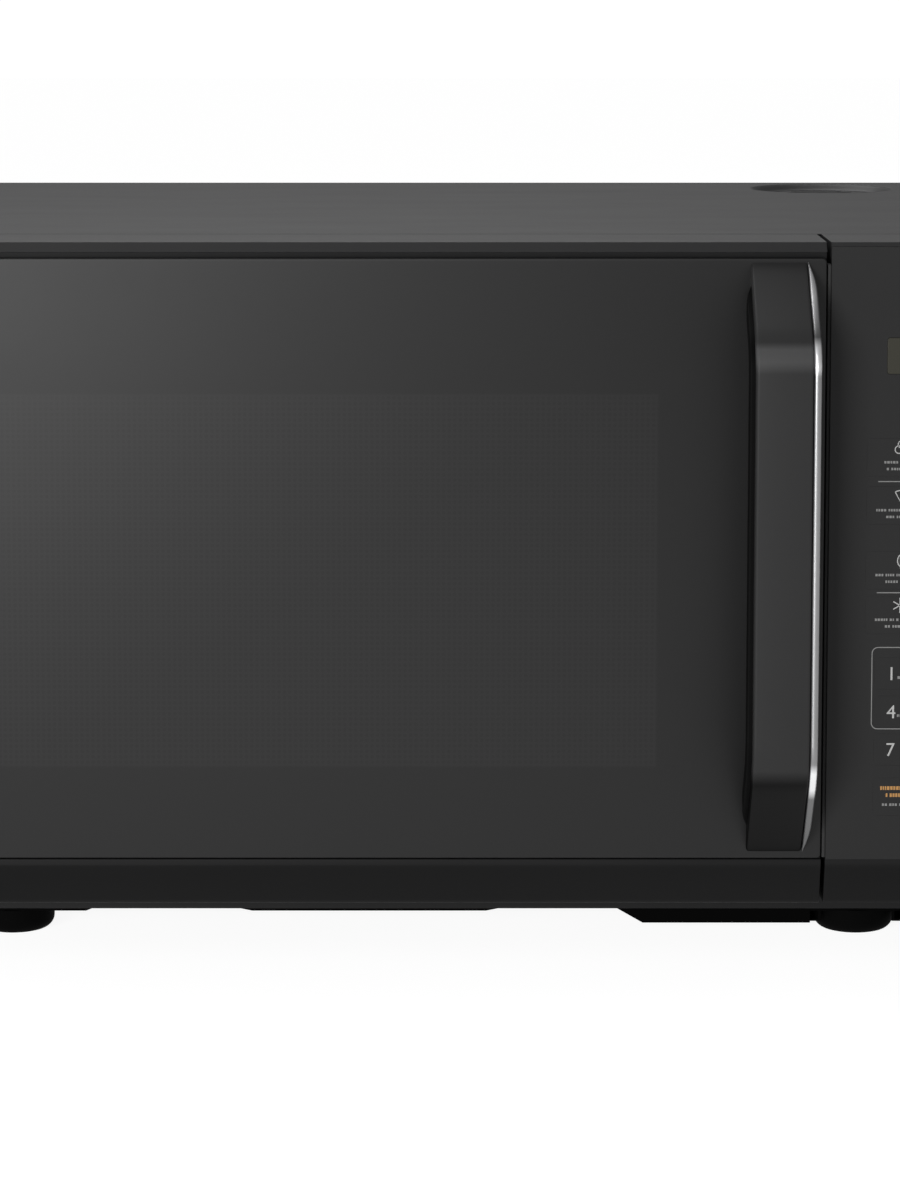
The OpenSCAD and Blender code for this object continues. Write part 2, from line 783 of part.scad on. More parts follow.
// Sliding latch plate with an upper and a lower hook
module latch_hooks() {
    x0 = latch_x - hook_t / 2;
    x1 = latch_x + hook_t / 2;
    y0 = door_back - 20;
    y1 = door_back + 26;
    color("#e2e0d8") {
        block([x0, y0, hook_z[0] - 4], [x1, y0 + 10, hook_z[1] + 4]);
        for (z = hook_z) {
            block([x0, y0, z - hook_h / 2], [x1, y1, z + hook_h / 2]);
            along_x(x0, x1) polygon([
                [y1 - 8, z - hook_h / 2], [y1 - 2, z - hook_h / 2 - 3], [y1, z - hook_h / 2 - 1],
                [y1, z + hook_h / 2], [y1 - 8, z + hook_h / 2]
            ]);
        }
    }
}

// Space taken by the coil spring that holds the latch plate down
module latch_spring() {
    z0 = hook_z[1] + 4.2;
    color("#b7babd") translate([latch_x, door_back - 15, z0]) difference() {
        cylinder(r = 3.2, h = spring_h);
        translate([0, 0, -1]) cylinder(r = 2.2, h = spring_h + 2);
    }
}

outer_cover();
rear_panel();
base_plate();
oven_cavity();
front_plate();
waveguide();
waveguide_cover();
magnetron();
transformer();
capacitor();
fan_housing();
fan_motor();
air_duct();
cavity_lamp();
turntable_motor();
latch_board();
interlock_switches();
control_panel_frame();
keypad_overlay();
display_window();
control_board();
feet();
cord_gland();
case_screws();
hinge_brackets();
fan_blade();
turntable_coupler();
roller_ring();
roller(0);  // roller_1
roller(1);  // roller_2
roller(2);  // roller_3
glass_tray();
door_frame();
door_glass();
door_screen();
choke_cover();
door_handle();
handle_trim();
latch_hooks();
latch_spring();
preset_key(0);  // key_preset_1
preset_key(1);  // key_preset_2
preset_key(2);  // key_preset_3
preset_key(3);  // key_preset_4
preset_key(4);  // key_preset_5
preset_key(5);  // key_preset_6
preset_key(6);  // key_preset_7
preset_key(7);  // key_preset_8
digit_key(1);  // key_1
digit_key(2);  // key_2
digit_key(3);  // key_3
digit_key(4);  // key_4
digit_key(5);  // key_5
digit_key(6);  // key_6
digit_key(7);  // key_7
digit_key(8);  // key_8
digit_key(9);  // key_9
bottom_key(-1);  // key_stop
bottom_key(0);  // key_0
bottom_key(1);  // key_start
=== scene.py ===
"""Looks of a countertop microwave oven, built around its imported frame.

All sizes are metres, with +X to the oven's right, +Y to its rear and +Z up.
Places come from the frame's own boxes, so the pieces follow the design.
"""

import json
import logging
import math
from dataclasses import dataclass, field
from enum import Enum
from typing import Any, Sequence

import bmesh
import bpy
import numpy as np
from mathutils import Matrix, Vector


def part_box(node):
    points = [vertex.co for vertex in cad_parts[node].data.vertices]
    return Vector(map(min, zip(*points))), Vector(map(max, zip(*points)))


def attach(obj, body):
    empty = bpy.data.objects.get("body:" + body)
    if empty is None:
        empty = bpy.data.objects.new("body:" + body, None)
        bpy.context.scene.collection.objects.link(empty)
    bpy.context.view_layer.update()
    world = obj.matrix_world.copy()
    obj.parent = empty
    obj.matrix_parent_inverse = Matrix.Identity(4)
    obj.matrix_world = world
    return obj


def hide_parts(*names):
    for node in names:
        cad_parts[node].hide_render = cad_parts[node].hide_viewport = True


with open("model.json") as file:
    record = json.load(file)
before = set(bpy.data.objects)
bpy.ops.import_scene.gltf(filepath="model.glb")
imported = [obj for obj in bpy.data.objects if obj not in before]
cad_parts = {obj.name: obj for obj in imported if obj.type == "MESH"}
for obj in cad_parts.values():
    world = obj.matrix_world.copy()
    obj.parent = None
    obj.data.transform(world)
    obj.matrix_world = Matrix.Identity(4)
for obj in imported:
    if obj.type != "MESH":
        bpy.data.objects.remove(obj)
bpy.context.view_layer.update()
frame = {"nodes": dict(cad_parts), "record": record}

LOG = logging.getLogger("microwave_oven")
MM = 0.001
FULL_TURN = 2.0 * math.pi
RGB = tuple[float, float, float]


# ---------------------------------------------------------------- shader maths


class Wire:
    """A node's output socket that takes part in Python arithmetic."""

    def __init__(self, kit: "Kit", socket: bpy.types.NodeSocket) -> None:
        self.kit = kit
        self.socket = socket

    def _math(self, operation: str, first: Any, second: Any) -> "Wire":
        """Adds one Math node and gives its output."""
        return self.kit.node("ShaderNodeMath", {"operation": operation}, {0: first, 1: second})

    def __add__(self, other: Any) -> "Wire":
        """self + other."""
        return self._math("ADD", self, other)

    def __radd__(self, other: Any) -> "Wire":
        """other + self."""
        return self._math("ADD", other, self)

    def __sub__(self, other: Any) -> "Wire":
        """self - other."""
        return self._math("SUBTRACT", self, other)

    def __rsub__(self, other: Any) -> "Wire":
        """other - self."""
        return self._math("SUBTRACT", other, self)

    def __mul__(self, other: Any) -> "Wire":
        """self * other."""
        return self._math("MULTIPLY", self, other)

    def __rmul__(self, other: Any) -> "Wire":
        """other * self."""
        return self._math("MULTIPLY", other, self)

    def __truediv__(self, other: Any) -> "Wire":
        """self / other."""
        return self._math("DIVIDE", self, other)

    def __gt__(self, other: Any) -> "Wire":
        """1 where self is above other, else 0."""
        return self._math("GREATER_THAN", self, other)

    def __lt__(self, other: Any) -> "Wire":
        """1 where self is below other, else 0."""
        return self._math("LESS_THAN", self, other)

    def __abs__(self) -> "Wire":
        """The distance from zero."""
        return self._math("ABSOLUTE", self, 0.0)

    def least(self, other: Any) -> "Wire":
        """The smaller of the two."""
        return self._math("MINIMUM", self, other)

    def most(self, other: Any) -> "Wire":
        """The larger of the two."""
        return self._math("MAXIMUM", self, other)

    def whole_share(self) -> "Wire":
        """What is left over after the whole part is taken off."""
        return self._math("FRACT", self, 0.0)

    def power(self, exponent: float) -> "Wire":
        """self to a power."""
        return self._math("POWER", self, exponent)

    def root(self) -> "Wire":
        """The square root."""
        return self._math("SQRT", self, 0.0)

    def wave(self) -> "Wire":
        """The sine."""
        return self._math("SINE", self, 0.0)


class Kit:
    """Builds one material's nodes."""

    def __init__(self, name: str) -> None:
        """Starts an empty material with its output and coordinates.

        Args:
            name: The material's name.
        """
        self.material = bpy.data.materials.new(name)
        self.material.use_nodes = True
        self.tree = self.material.node_tree
        self.tree.nodes.clear()
        self.place = self.node("ShaderNodeTexCoord", output="Object")
        self._axes: list[Wire] = []

    def node(
        self,
        kind: str,
        settings: dict[str, Any] | None = None,
        inputs: dict[Any, Any] | None = None,
        output: Any = 0,
    ) -> Wire:
        """Adds a node of any type.

        Args:
            kind: The node's type.
            settings: Attributes set first; stops is a ramp's (place, colour) list.
            inputs: Values or wires of its sockets, by name or number.
            output: Which output to give back.

        Returns:
            The chosen output as a wire.
        """
        made = self.tree.nodes.new(kind)
        for key, value in (settings or {}).items():
            if key == "stops":
                self._fill_ramp(made.color_ramp, value)
            else:
                setattr(made, key, value)
        for key, value in (inputs or {}).items():
            if isinstance(value, Wire):
                self.tree.links.new(value.socket, made.inputs[key])
            else:
                made.inputs[key].default_value = value
        return Wire(self, made.outputs[output])

    @staticmethod
    def _fill_ramp(ramp: bpy.types.ColorRamp, stops: Sequence[tuple[float, RGB]]) -> None:
        """Sets a colour ramp's stops."""
        while len(ramp.elements) < len(stops):
            ramp.elements.new(1.0)
        for element, (place, color) in zip(ramp.elements, stops):
            element.position = place
            element.color = (*color, 1.0)

    def axis(self, index: int) -> Wire:
        """One coordinate of the object, 0 for X, 1 for Y and 2 for Z."""
        if not self._axes:
            split = self.tree.nodes.new("ShaderNodeSeparateXYZ")
            self.tree.links.new(self.place.socket, split.inputs[0])
            self._axes = [Wire(self, out) for out in split.outputs]
        return self._axes[index]

    def noise(self, size: float, detail: float = 2.0, stretch: RGB = (1.0, 1.0, 1.0)) -> Wire:
        """Cloudy noise from 0 to 1.

        Args:
            size: Distance from one lump to the next.
            detail: How many finer layers it has.
            stretch: How many times longer the lumps are along each axis.

        Returns:
            The noise's strength.
        """
        scale = tuple(1.0 / (size * s) for s in stretch)
        where = self.node("ShaderNodeMapping", None, {"Vector": self.place, "Scale": scale})
        return self.node("ShaderNodeTexNoise", None, {"Vector": where, "Scale": 1.0, "Detail": detail})

    def cells(self, size: float, output: str = "Distance") -> Wire:
        """Irregular cells of about the given size."""
        return self.node(
            "ShaderNodeTexVoronoi", None, {"Vector": self.place, "Scale": 1.0 / size}, output
        )

    def blend(self, share: Any, first: Any, second: Any) -> Wire:
        """A colour between two others."""
        return self.node(
            "ShaderNodeMix",
            {"data_type": "RGBA"},
            {"Factor": share, 6: self._rgba(first), 7: self._rgba(second)},
            2,
        )

    @staticmethod
    def _rgba(color: Any) -> Any:
        """Leaves a wire alone and gives a plain colour its alpha."""
        return color if isinstance(color, Wire) else (*color, 1.0)

    def box_mask(self, low: Sequence[float], high: Sequence[float], soft: float) -> Wire:
        """1 inside an X-Z rectangle, falling to 0 over a soft edge.

        Args:
            low: Lowest X and Z.
            high: Highest X and Z.
            soft: Width of the edge.

        Returns:
            The mask.
        """
        masks = []
        for axis, a, b in ((0, low[0], high[0]), (2, low[1], high[1])):
            middle, half = (a + b) / 2, (b - a) / 2
            inside = (half - abs(self.axis(axis) - middle)) / soft
            masks.append(inside.most(0.0).least(1.0))
        return masks[0] * masks[1]

    def finish(self, shader: dict[str, Any], height: Wire | None, depth: float) -> bpy.types.Material:
        """Closes the material with its shader and its relief.

        Args:
            shader: Sockets of the surface shader.
            height: The relief, from 0 to 1, or nothing.
            depth: How deep the relief is.

        Returns:
            The material.
        """
        sockets = dict(shader)
        if height is not None:
            sockets["Normal"] = self.node(
                "ShaderNodeBump", None, {"Strength": 1.0, "Distance": depth, "Height": height}
            )
        surface = self.node("ShaderNodeBsdfPrincipled", None, sockets)
        end = self.tree.nodes.new("ShaderNodeOutputMaterial")
        self.tree.links.new(surface.socket, end.inputs["Surface"])
        return self.material


# ------------------------------------------------------------------- finishes


class Pattern(Enum):
    """What the fine relief of a finish looks like."""

    GRAIN = "moulded grain"
    PEEL = "sprayed coat"
    SPANGLE = "zinc crystals"
    BRUSHED = "drawn lines"
    STACKED = "stacked sheets"
    TRACES = "copper traces"
    CLEAN = "polished"


def shade(color: RGB, factor: float) -> RGB:
    """A colour made lighter or darker."""
    return tuple(min(1.0, c * factor) for c in color)


@dataclass(frozen=True)
class Finish:
    """An opaque finish with its colour, gloss and fine relief."""

    name: str
    color: RGB
    rough: float = 0.45
    metal: float = 0.0
    pattern: Pattern = Pattern.GRAIN
    grain: float = 0.6 * MM
    depth: float = 0.02 * MM
    mottle: float = 0.10
    smear: float = 0.08
    coat: float = 0.0
    specular: float = 0.5
    glow: float = 0.0
    # painted light: (height, factor) stops that darken the colour as painted shade and lighten it as painted
    # highlights
    tones: tuple[tuple[float, float], ...] = ()

    def relief(self, kit: Kit) -> Wire | None:
        """The height of the fine pattern, from 0 to 1.

        Args:
            kit: The material's nodes.

        Returns:
            The height, or None for a finish without a pattern.
        """
        if self.pattern is Pattern.GRAIN:
            return kit.cells(self.grain) * 0.6 + kit.noise(self.grain * 0.6, 3.0) * 0.4
        if self.pattern is Pattern.PEEL:
            return kit.noise(self.grain, 2.0) * 0.7 + kit.noise(self.grain * 0.35, 2.0) * 0.3
        if self.pattern is Pattern.SPANGLE:
            return kit.noise(self.grain * 0.2, 3.0)
        if self.pattern is Pattern.BRUSHED:
            return kit.noise(self.grain, 2.0, (60.0, 1.0, 1.0))
        if self.pattern is Pattern.STACKED:
            return (kit.axis(1) * (FULL_TURN / self.grain)).wave() * 0.5 + 0.5
        if self.pattern is Pattern.TRACES:
            return self._traces(kit)
        return None

    def _traces(self, kit: Kit) -> Wire:
        """Copper lines on a board: a ladder broken up by large cells.

        Args:
            kit: The material's nodes.

        Returns:
            1 on a line and 0 beside it.
        """
        lines = ((kit.axis(0) * (FULL_TURN / self.grain)).wave() > 0.4)
        rungs = ((kit.axis(2) * (FULL_TURN / (self.grain * 1.7))).wave() > 0.5)
        choice = kit.cells(self.grain * 5.0, "Color")
        pick = kit.node("ShaderNodeRGBToBW", None, {0: choice}) > 0.5
        return lines * pick + rungs * (1.0 - pick)

    def tint(self, kit: Kit, cloud: Wire) -> Wire:
        """The colour over the surface: it wanders a little, and where heights are given it is multiplied over
        Z by painted shade and painted highlights.

        Args:
            kit: The material's nodes.
            cloud: Slow noise from 0 to 1.

        Returns:
            The colour.
        """
        dark, light = shade(self.color, 1 - self.mottle), shade(self.color, 1 + self.mottle)
        if self.pattern is Pattern.SPANGLE:
            flakes = kit.node("ShaderNodeRGBToBW", None, {0: kit.cells(self.grain, "Color")})
            return kit.blend(flakes * 0.6 + cloud * 0.4, dark, light)
        if self.pattern is Pattern.TRACES:
            return kit.blend(self._traces(kit) * 0.55, dark, shade(self.color, 2.2))
        even = kit.blend(cloud, dark, light)
        if not self.tones:
            return even
        # painted shade and painted highlights: a ramp over the object's Z multiplies the colour
        start, end = self.tones[0][0], self.tones[-1][0]
        stops = [((z - start) / (end - start), (tone, tone, tone)) for z, tone in self.tones]
        painted_light_ramp = kit.node("ShaderNodeValToRGB", {"stops": stops}, {0: (kit.axis(2) - start) / (end - start)})
        settings = {"data_type": "RGBA", "blend_type": "MULTIPLY"}
        return kit.node("ShaderNodeMix", settings, {"Factor": 1.0, 6: even, 7: painted_light_ramp}, 2)

    def build(self) -> bpy.types.Material:
        """Makes the material.

        Returns:
            The finished material.
        """
        kit = Kit(self.name)
        cloud = kit.noise(60 * MM, 4.0)
        wipe = kit.noise(25 * MM, 3.0, (2.5, 1.0, 1.0))
        rough = (self.rough + (wipe - 0.5) * self.smear).most(0.03).least(1.0)
        shader = {
            "Base Color": self.tint(kit, cloud),
            "Roughness": rough,
            "Metallic": self.metal,
            "Coat Weight": self.coat,
            "Specular IOR Level": self.specular,
            "Emission Color": (*self.color, 1.0),
            "Emission Strength": self.glow,
        }
        return kit.finish(shader, self.relief(kit), self.depth)


@dataclass(frozen=True)
class SmokedDoorGlass:
    """Dark door glass with a window that shows a fine perforated sheet behind it."""

    name: str
    low: tuple[float, float]
    high: tuple[float, float]
    color: RGB = (0.0034, 0.0034, 0.0035)
    window_lift: float = 0.0021
    pitch: float = 2.2 * MM

    def build(self) -> bpy.types.Material:
        """Makes the material: smoked glass, a printed border and the dot screen behind.

        Returns:
            The finished material.
        """
        kit = Kit(self.name)
        window = kit.box_mask(self.low, self.high, 1.2 * MM)
        column = (kit.axis(0) / self.pitch).whole_share() - 0.5
        row = (kit.axis(2) / self.pitch).whole_share() - 0.5
        hole = (column * column + row * row).root() < 0.33
        cloud = kit.noise(90 * MM, 3.0)
        edge = shade(self.color, 1.0)
        lit = tuple(c + self.window_lift * 1.6 for c in self.color)
        deep = tuple(c + self.window_lift * 0.7 for c in self.color)
        screen = kit.blend(hole, lit, deep)
        tint = kit.blend(window, kit.blend(cloud, shade(edge, 0.97), shade(edge, 1.03)), screen)
        wipe = kit.noise(45 * MM, 4.0, (3.0, 1.0, 1.0))
        prints = kit.noise(9 * MM, 2.0) * kit.noise(70 * MM, 1.0)
        rough = 0.49 + (wipe - 0.5) * 0.03 + prints * 0.02
        shader = {
            "Base Color": tint,
            "Roughness": rough,
            "IOR": 1.5,
            "Specular IOR Level": 0.30,
        }
        return kit.finish(shader, kit.noise(110 * MM, 1.0), 0.05 * MM)


@dataclass(frozen=True)
class ClearGlass:
    """Tempered glass of the tray, a little green and with fine wash marks."""

    name: str
    color: RGB = (0.86, 0.95, 0.93)

    def build(self) -> bpy.types.Material:
        """Makes the material.

        Returns:
            The finished material.
        """
        kit = Kit(self.name)
        marks = kit.noise(14 * MM, 5.0, (3.0, 1.0, 1.0))
        shader = {
            "Base Color": kit.blend(marks, self.color, shade(self.color, 0.97)),
            "Roughness": 0.03 + marks * 0.05,
            "IOR": 1.5,
            "Transmission Weight": 1.0,
        }
        return kit.finish(shader, kit.noise(8 * MM, 1.0), 0.02 * MM)


@dataclass(frozen=True)
class Perforated:
    """Black enamelled sheet with a field of small round holes."""

    name: str
    low: tuple[float, float]
    high: tuple[float, float]
    color: RGB = (0.03, 0.03, 0.032)
    pitch: float = 2.2 * MM

    def build(self) -> bpy.types.Material:
        """Makes the material: holes let light through inside the window only.

        Returns:
            The finished material.
        """
        kit = Kit(self.name)
        window = kit.box_mask(self.low, self.high, 0.2 * MM) > 0.5
        column = (kit.axis(0) / self.pitch).whole_share() - 0.5
        row = (kit.axis(2) / self.pitch).whole_share() - 0.5
        distance = (column * column + row * row).root()
        hole = (distance < 0.31) * window
        rim = (distance < 0.37) * window
        cloud = kit.noise(30 * MM, 3.0)
        base = kit.blend(cloud, shade(self.color, 0.85), shade(self.color, 1.15))
        shader = {
            "Base Color": kit.blend(rim, base, shade(self.color, 1.8)),
            "Roughness": 0.38 + cloud * 0.1,
            "Alpha": 1.0 - hole,
        }
        return kit.finish(shader, kit.noise(0.9 * MM, 2.0) * 0.3 + rim * 0.7, 0.06 * MM)


# Black trim plastic with painted light over height: painted shade holds the chin and the front at 43 %, a
# painted highlight lifts a thin line at the chin's top edge, and a painted highlight brightens the top bevel
# to 145 %.
TRIM_PLASTIC_WITH_PAINTED_LIGHT = Finish(
    "trim_plastic", (0.0085, 0.0085, 0.0087), 0.50, grain=0.5 * MM, depth=0.012 * MM, specular=0.09,
    tones=(
        (0.0, 0.43), (0.0396, 0.43), (0.0402, 0.80), (0.0424, 0.80), (0.0430, 0.43), (0.283, 0.45),
        (0.2865, 1.45), (0.3, 1.45),
    ),
)
COVER_PAINT = Finish(
    "cover_paint", (0.0158, 0.0158, 0.0162), 0.50, pattern=Pattern.PEEL, grain=1.4 * MM, depth=0.012 * MM,
    mottle=0.04, specular=0.08,
)
# Black paint darkened further to near black: painted shade for the base's underside beneath the oven.
BASE_PAINT_AND_SHADE = Finish(
    "base_paint_and_shade", (0.0009, 0.0009, 0.0009), 0.60, pattern=Pattern.PEEL, grain=1.2 * MM, depth=0.02 * MM,
    specular=0.015,
)
ZINC_SHEET = Finish(
    "zinc_sheet", (0.50, 0.51, 0.52), 0.42, 1.0, Pattern.SPANGLE, 7 * MM, 0.01 * MM, 0.16, 0.16
)
OVEN_ENAMEL = Finish(
    "oven_enamel", (0.42, 0.42, 0.40), 0.34, pattern=Pattern.PEEL, grain=2.2 * MM, depth=0.04 * MM, coat=0.3
)
BLACK_ENAMEL = Finish(
    "black_enamel", (0.0065, 0.0065, 0.0067), 0.40, pattern=Pattern.PEEL, grain=1.6 * MM, specular=0.13
)
GUIDE_METAL = Finish("guide_metal", (0.70, 0.71, 0.72), 0.33, 1.0, Pattern.BRUSHED, 0.5 * MM, 0.01 * MM)
MICA = Finish("mica", (0.56, 0.50, 0.38), 0.35, pattern=Pattern.SPANGLE, grain=9 * MM, mottle=0.18)
IRON_CORE = Finish(
    "iron_core", (0.10, 0.10, 0.105), 0.55, 0.6, Pattern.STACKED, 0.6 * MM, 0.05 * MM, 0.2
)
DARK_FAN_PLASTIC = Finish("fan_plastic", (0.03, 0.033, 0.036), 0.5)
WHITE_PLASTIC = Finish("white_plastic", (0.70, 0.69, 0.64), 0.42, grain=0.8 * MM, mottle=0.04)
SWITCH_PLASTIC = Finish("switch_plastic", (0.02, 0.02, 0.024), 0.32)
PLATED_STEEL = Finish(
    "plated_steel", (0.60, 0.61, 0.62), 0.30, 1.0, Pattern.BRUSHED, 0.4 * MM, 0.008 * MM, 0.1, 0.14
)
# Near-black sheet that is painted shadow: it stands for the shade and dark reflection in the gap behind the
# handle's left side.
PAINTED_SHADOW_SHEET = Finish(
    "painted_shadow_sheet", (0.0020, 0.0020, 0.0020), 0.6, grain=0.4 * MM, depth=0.008 * MM, specular=0.04
)
SEAL = Finish("soft_seal", (0.030, 0.030, 0.030), 0.8, grain=0.5 * MM, depth=0.02 * MM, specular=0.1)
RUBBER = Finish(
    "foot_rubber", (0.0013, 0.0013, 0.0013), 0.74, grain=0.9 * MM, depth=0.05 * MM, mottle=0.2, specular=0.02
)
PANEL_FACE = Finish(
    "panel_face", (0.0108, 0.0108, 0.0109), 0.42, pattern=Pattern.PEEL, grain=0.5 * MM, depth=0.004 * MM,
    mottle=0.03, smear=0.05, specular=0.18,
)
DISPLAY_LENS = Finish(
    "display_lens", (0.0205, 0.0193, 0.0124), 0.22, pattern=Pattern.CLEAN, mottle=0.06, specular=0.3
)
BOARD = Finish("circuit_board", (0.02, 0.11, 0.05), 0.38, pattern=Pattern.TRACES, grain=2.4 * MM)
# Satin handle paint with painted light over height: painted shade takes the lower slope down to 2 to 3 %, the
# front to about 70 % and the upper slope to 56 to 66 %, and a painted highlight lifts the upper bend to 155
# %.
HANDLE_SATIN_WITH_PAINTED_LIGHT = Finish(
    "handle_satin", (0.0330, 0.0330, 0.0333), 0.40, pattern=Pattern.PEEL, grain=0.35 * MM, depth=0.005 * MM,
    mottle=0.04, smear=0.10, specular=0.08,
    tones=(
        (0.046, 0.02), (0.079, 0.03), (0.085, 0.66), (0.243, 0.70), (0.2475, 1.55), (0.2525, 1.55),
        (0.255, 0.66), (0.284, 0.56),
    ),
)
# Chrome with painted light over height: painted highlights hold the two bends at 95 % of the colour, and
# painted shade dims the straight run to about 30 % and the tips to 16 to 42 %.
CHROME_WITH_PAINTED_LIGHT = Finish(
    "bright_strip_with_painted_light", (0.90, 0.90, 0.91), 0.36, 1.0, Pattern.BRUSHED, 0.3 * MM, 0.002 * MM, 0.03, 0.06,
    tones=(
        (0.046, 0.16), (0.072, 0.20), (0.0765, 0.95), (0.084, 0.95), (0.088, 0.26), (0.170, 0.30),
        (0.242, 0.27), (0.2455, 0.95), (0.2535, 0.95), (0.257, 0.16), (0.272, 0.42), (0.284, 0.30),
    ),
)
SPRING_WIRE = Finish("spring_wire", (0.45, 0.46, 0.47), 0.28, 1.0, Pattern.BRUSHED, 0.3 * MM, 0.004 * MM)
PALE_PRINT = Finish(
    "pale_print", (0.30, 0.30, 0.295), 0.55, pattern=Pattern.PEEL, grain=0.3 * MM, depth=0.004 * MM,
    mottle=0.12,
)
DIM_PRINT = Finish(
    "dim_print", (0.14, 0.14, 0.137), 0.55, pattern=Pattern.PEEL, grain=0.3 * MM, depth=0.004 * MM,
    mottle=0.12,
)
AMBER_PRINT = Finish(
    "amber_print", (0.32, 0.155, 0.035), 0.55, pattern=Pattern.PEEL, grain=0.3 * MM, depth=0.004 * MM,
    mottle=0.12,
)
GHOST_PRINT = Finish(
    "ghost_segment", (0.040, 0.038, 0.026), 0.22, pattern=Pattern.PEEL, grain=0.4 * MM, depth=0.002 * MM,
    mottle=0.05,
)
FLOOR = Finish(
    "floor", (0.20, 0.20, 0.20), 0.9, pattern=Pattern.PEEL, grain=5 * MM, depth=0.02 * MM, mottle=0.01,
    specular=0.1, glow=4.6,
)

_built: dict[str, bpy.types.Material] = {}


def material_of(finish: Any) -> bpy.types.Material:
    """The material of a finish, made once."""
    if finish.name not in _built:
        _built[finish.name] = finish.build()
    return _built[finish.name]


# -------------------------------------------------------------- mesh building


def signed_volume(points: np.ndarray, faces: Sequence[Sequence[int]]) -> float:
    """Six times the volume inside a closed mesh; negative if its faces look inwards.

    The sum, over each face cut into a fan of triangles, of a . (b x c).

    Args:
        points: Corners, as rows of X, Y and Z.
        faces: Lists of corner numbers.

    Returns:
        Six times the volume.
    """
    total = 0.0
    by_size: dict[int, list[Sequence[int]]] = {}
    for f in faces:
        by_size.setdefault(len(f), []).append(f)
    for size, group in by_size.items():
        corner = points[np.array(group)]
        for k in range(1, size - 1):
            cross = np.cross(corner[:, k], corner[:, k + 1])
            total += float((corner[:, 0] * cross).sum())
    return total


def make_object(name: str, points: np.ndarray, faces: list, smooth_angle: float = 35.0) -> bpy.types.Object:
    """Puts points and faces into a new mesh object at the origin.

    Args:
        name: The piece's name.
        points: Corners, as rows of X, Y and Z.
        faces: Lists of corner numbers.
        smooth_angle: Edges sharper than this many degrees stay crisp.

    Returns:
        The object.
    """
    mesh = bpy.data.meshes.new(name)
    mesh.from_pydata(points.tolist(), [], faces)
    mesh.validate()
    mesh.shade_smooth()
    mesh.set_sharp_from_angle(angle=math.radians(smooth_angle))
    made = bpy.data.objects.new(name, mesh)
    bpy.context.scene.collection.objects.link(made)
    return made


@dataclass
class Patch:
    """Points and faces of one or more surfaces, gathered for one piece."""

    points: list[np.ndarray] = field(default_factory=list)
    faces: list[list[int]] = field(default_factory=list)
    count: int = 0

    def add(self, points: np.ndarray, faces: list[list[int]]) -> None:
        """Adds a surface after those already gathered.

        Args:
            points: Corners, as rows of X, Y and Z.
            faces: Lists of corner numbers, counted from this surface's first corner.
        """
        self.points.append(points)
        self.faces += [[i + self.count for i in f] for f in faces]
        self.count += len(points)

    def grid(
        self, net: np.ndarray, round_u: bool = False, round_v: bool = False,
        cap_first: bool = False, cap_last: bool = False,
    ) -> None:
        """Adds a surface given as a net of points, net[u, v].

        Each cell of the net becomes one four-sided face. A closed surface is
        turned so that its faces look outwards.

        Args:
            net: Array of shape (u, v, 3).
            round_u: Whether the last row joins the first.
            round_v: Whether the last column joins the first.
            cap_first: Whether the first row is closed by one face.
            cap_last: Whether the last row is closed by one face.
        """
        rows, columns = net.shape[:2]
        number = np.arange(rows * columns).reshape(rows, columns)
        if round_u:
            number = np.vstack([number, number[:1]])
        if round_v:
            number = np.hstack([number, number[:, :1]])
        cells = np.stack(
            [number[:-1, :-1], number[1:, :-1], number[1:, 1:], number[:-1, 1:]], -1
        ).reshape(-1, 4)
        faces = cells.tolist()
        if cap_first:
            faces.append(number[0, :columns].tolist())
        if cap_last:
            faces.append(number[rows - 1, :columns][::-1].tolist())
        points = net.reshape(-1, 3)
        closed = round_v and (round_u or (cap_first and cap_last))
        if closed and signed_volume(points - points.mean(0), faces) < 0:
            faces = [f[::-1] for f in faces]
        self.add(points, faces)

    def build(self, name: str, smooth_angle: float = 35.0) -> bpy.types.Object:
        """Makes the piece's object."""
        return make_object(name, np.vstack(self.points), self.faces, smooth_angle)


def arc(center: Sequence[float], radius: float, start: float, end: float, steps: int) -> np.ndarray:
    """Points on an arc: centre + radius * (cos, sin), angles in degrees."""
    angles = np.radians(np.linspace(start, end, steps))
    return np.stack([center[0] + radius * np.cos(angles), center[1] + radius * np.sin(angles)], 1)


def rounded_rectangle(
    x0: float, x1: float, z0: float, z1: float, radius: float, steps: int = 6
) -> np.ndarray:
    """Outline of a rectangle whose corners are quarter circles, counter-clockwise."""
    return np.vstack([
        arc((x1 - radius, z0 + radius), radius, -90, 0, steps),
        arc((x1 - radius, z1 - radius), radius, 0, 90, steps),
        arc((x0 + radius, z1 - radius), radius, 90, 180, steps),
        arc((x0 + radius, z0 + radius), radius, 180, 270, steps),
    ])


def turned(
    patch: Patch, profile: np.ndarray, origin: Sequence[float], axis: Sequence[float], steps: int = 64,
    cap: bool = True,
) -> None:
    """Adds a turned form: origin + axis * height + radius * (side cos a + up sin a).

    Args:
        patch: Where the surface goes.
        profile: Rows of radius and height.
        origin: Where the axis starts.
        axis: Its direction.
        steps: How many points go round.
        cap: Whether both ends are closed.
    """
    along = np.array(axis, float)
    along /= np.linalg.norm(along)
    helper = np.array([0.0, 0.0, 1.0]) if abs(along[2]) < 0.9 else np.array([1.0, 0.0, 0.0])
    side = np.cross(helper, along)
    side /= np.linalg.norm(side)
    up = np.cross(along, side)
    angle = np.linspace(0, FULL_TURN, steps, endpoint=False)
    spokes = np.cos(angle)[:, None] * side + np.sin(angle)[:, None] * up
    net = (
        np.array(origin)[None, None]
        + profile[:, 1][:, None, None] * along
        + profile[:, 0][:, None, None] * spokes[None]
    )
    patch.grid(net, round_v=True, round_u=not cap, cap_first=cap, cap_last=cap)


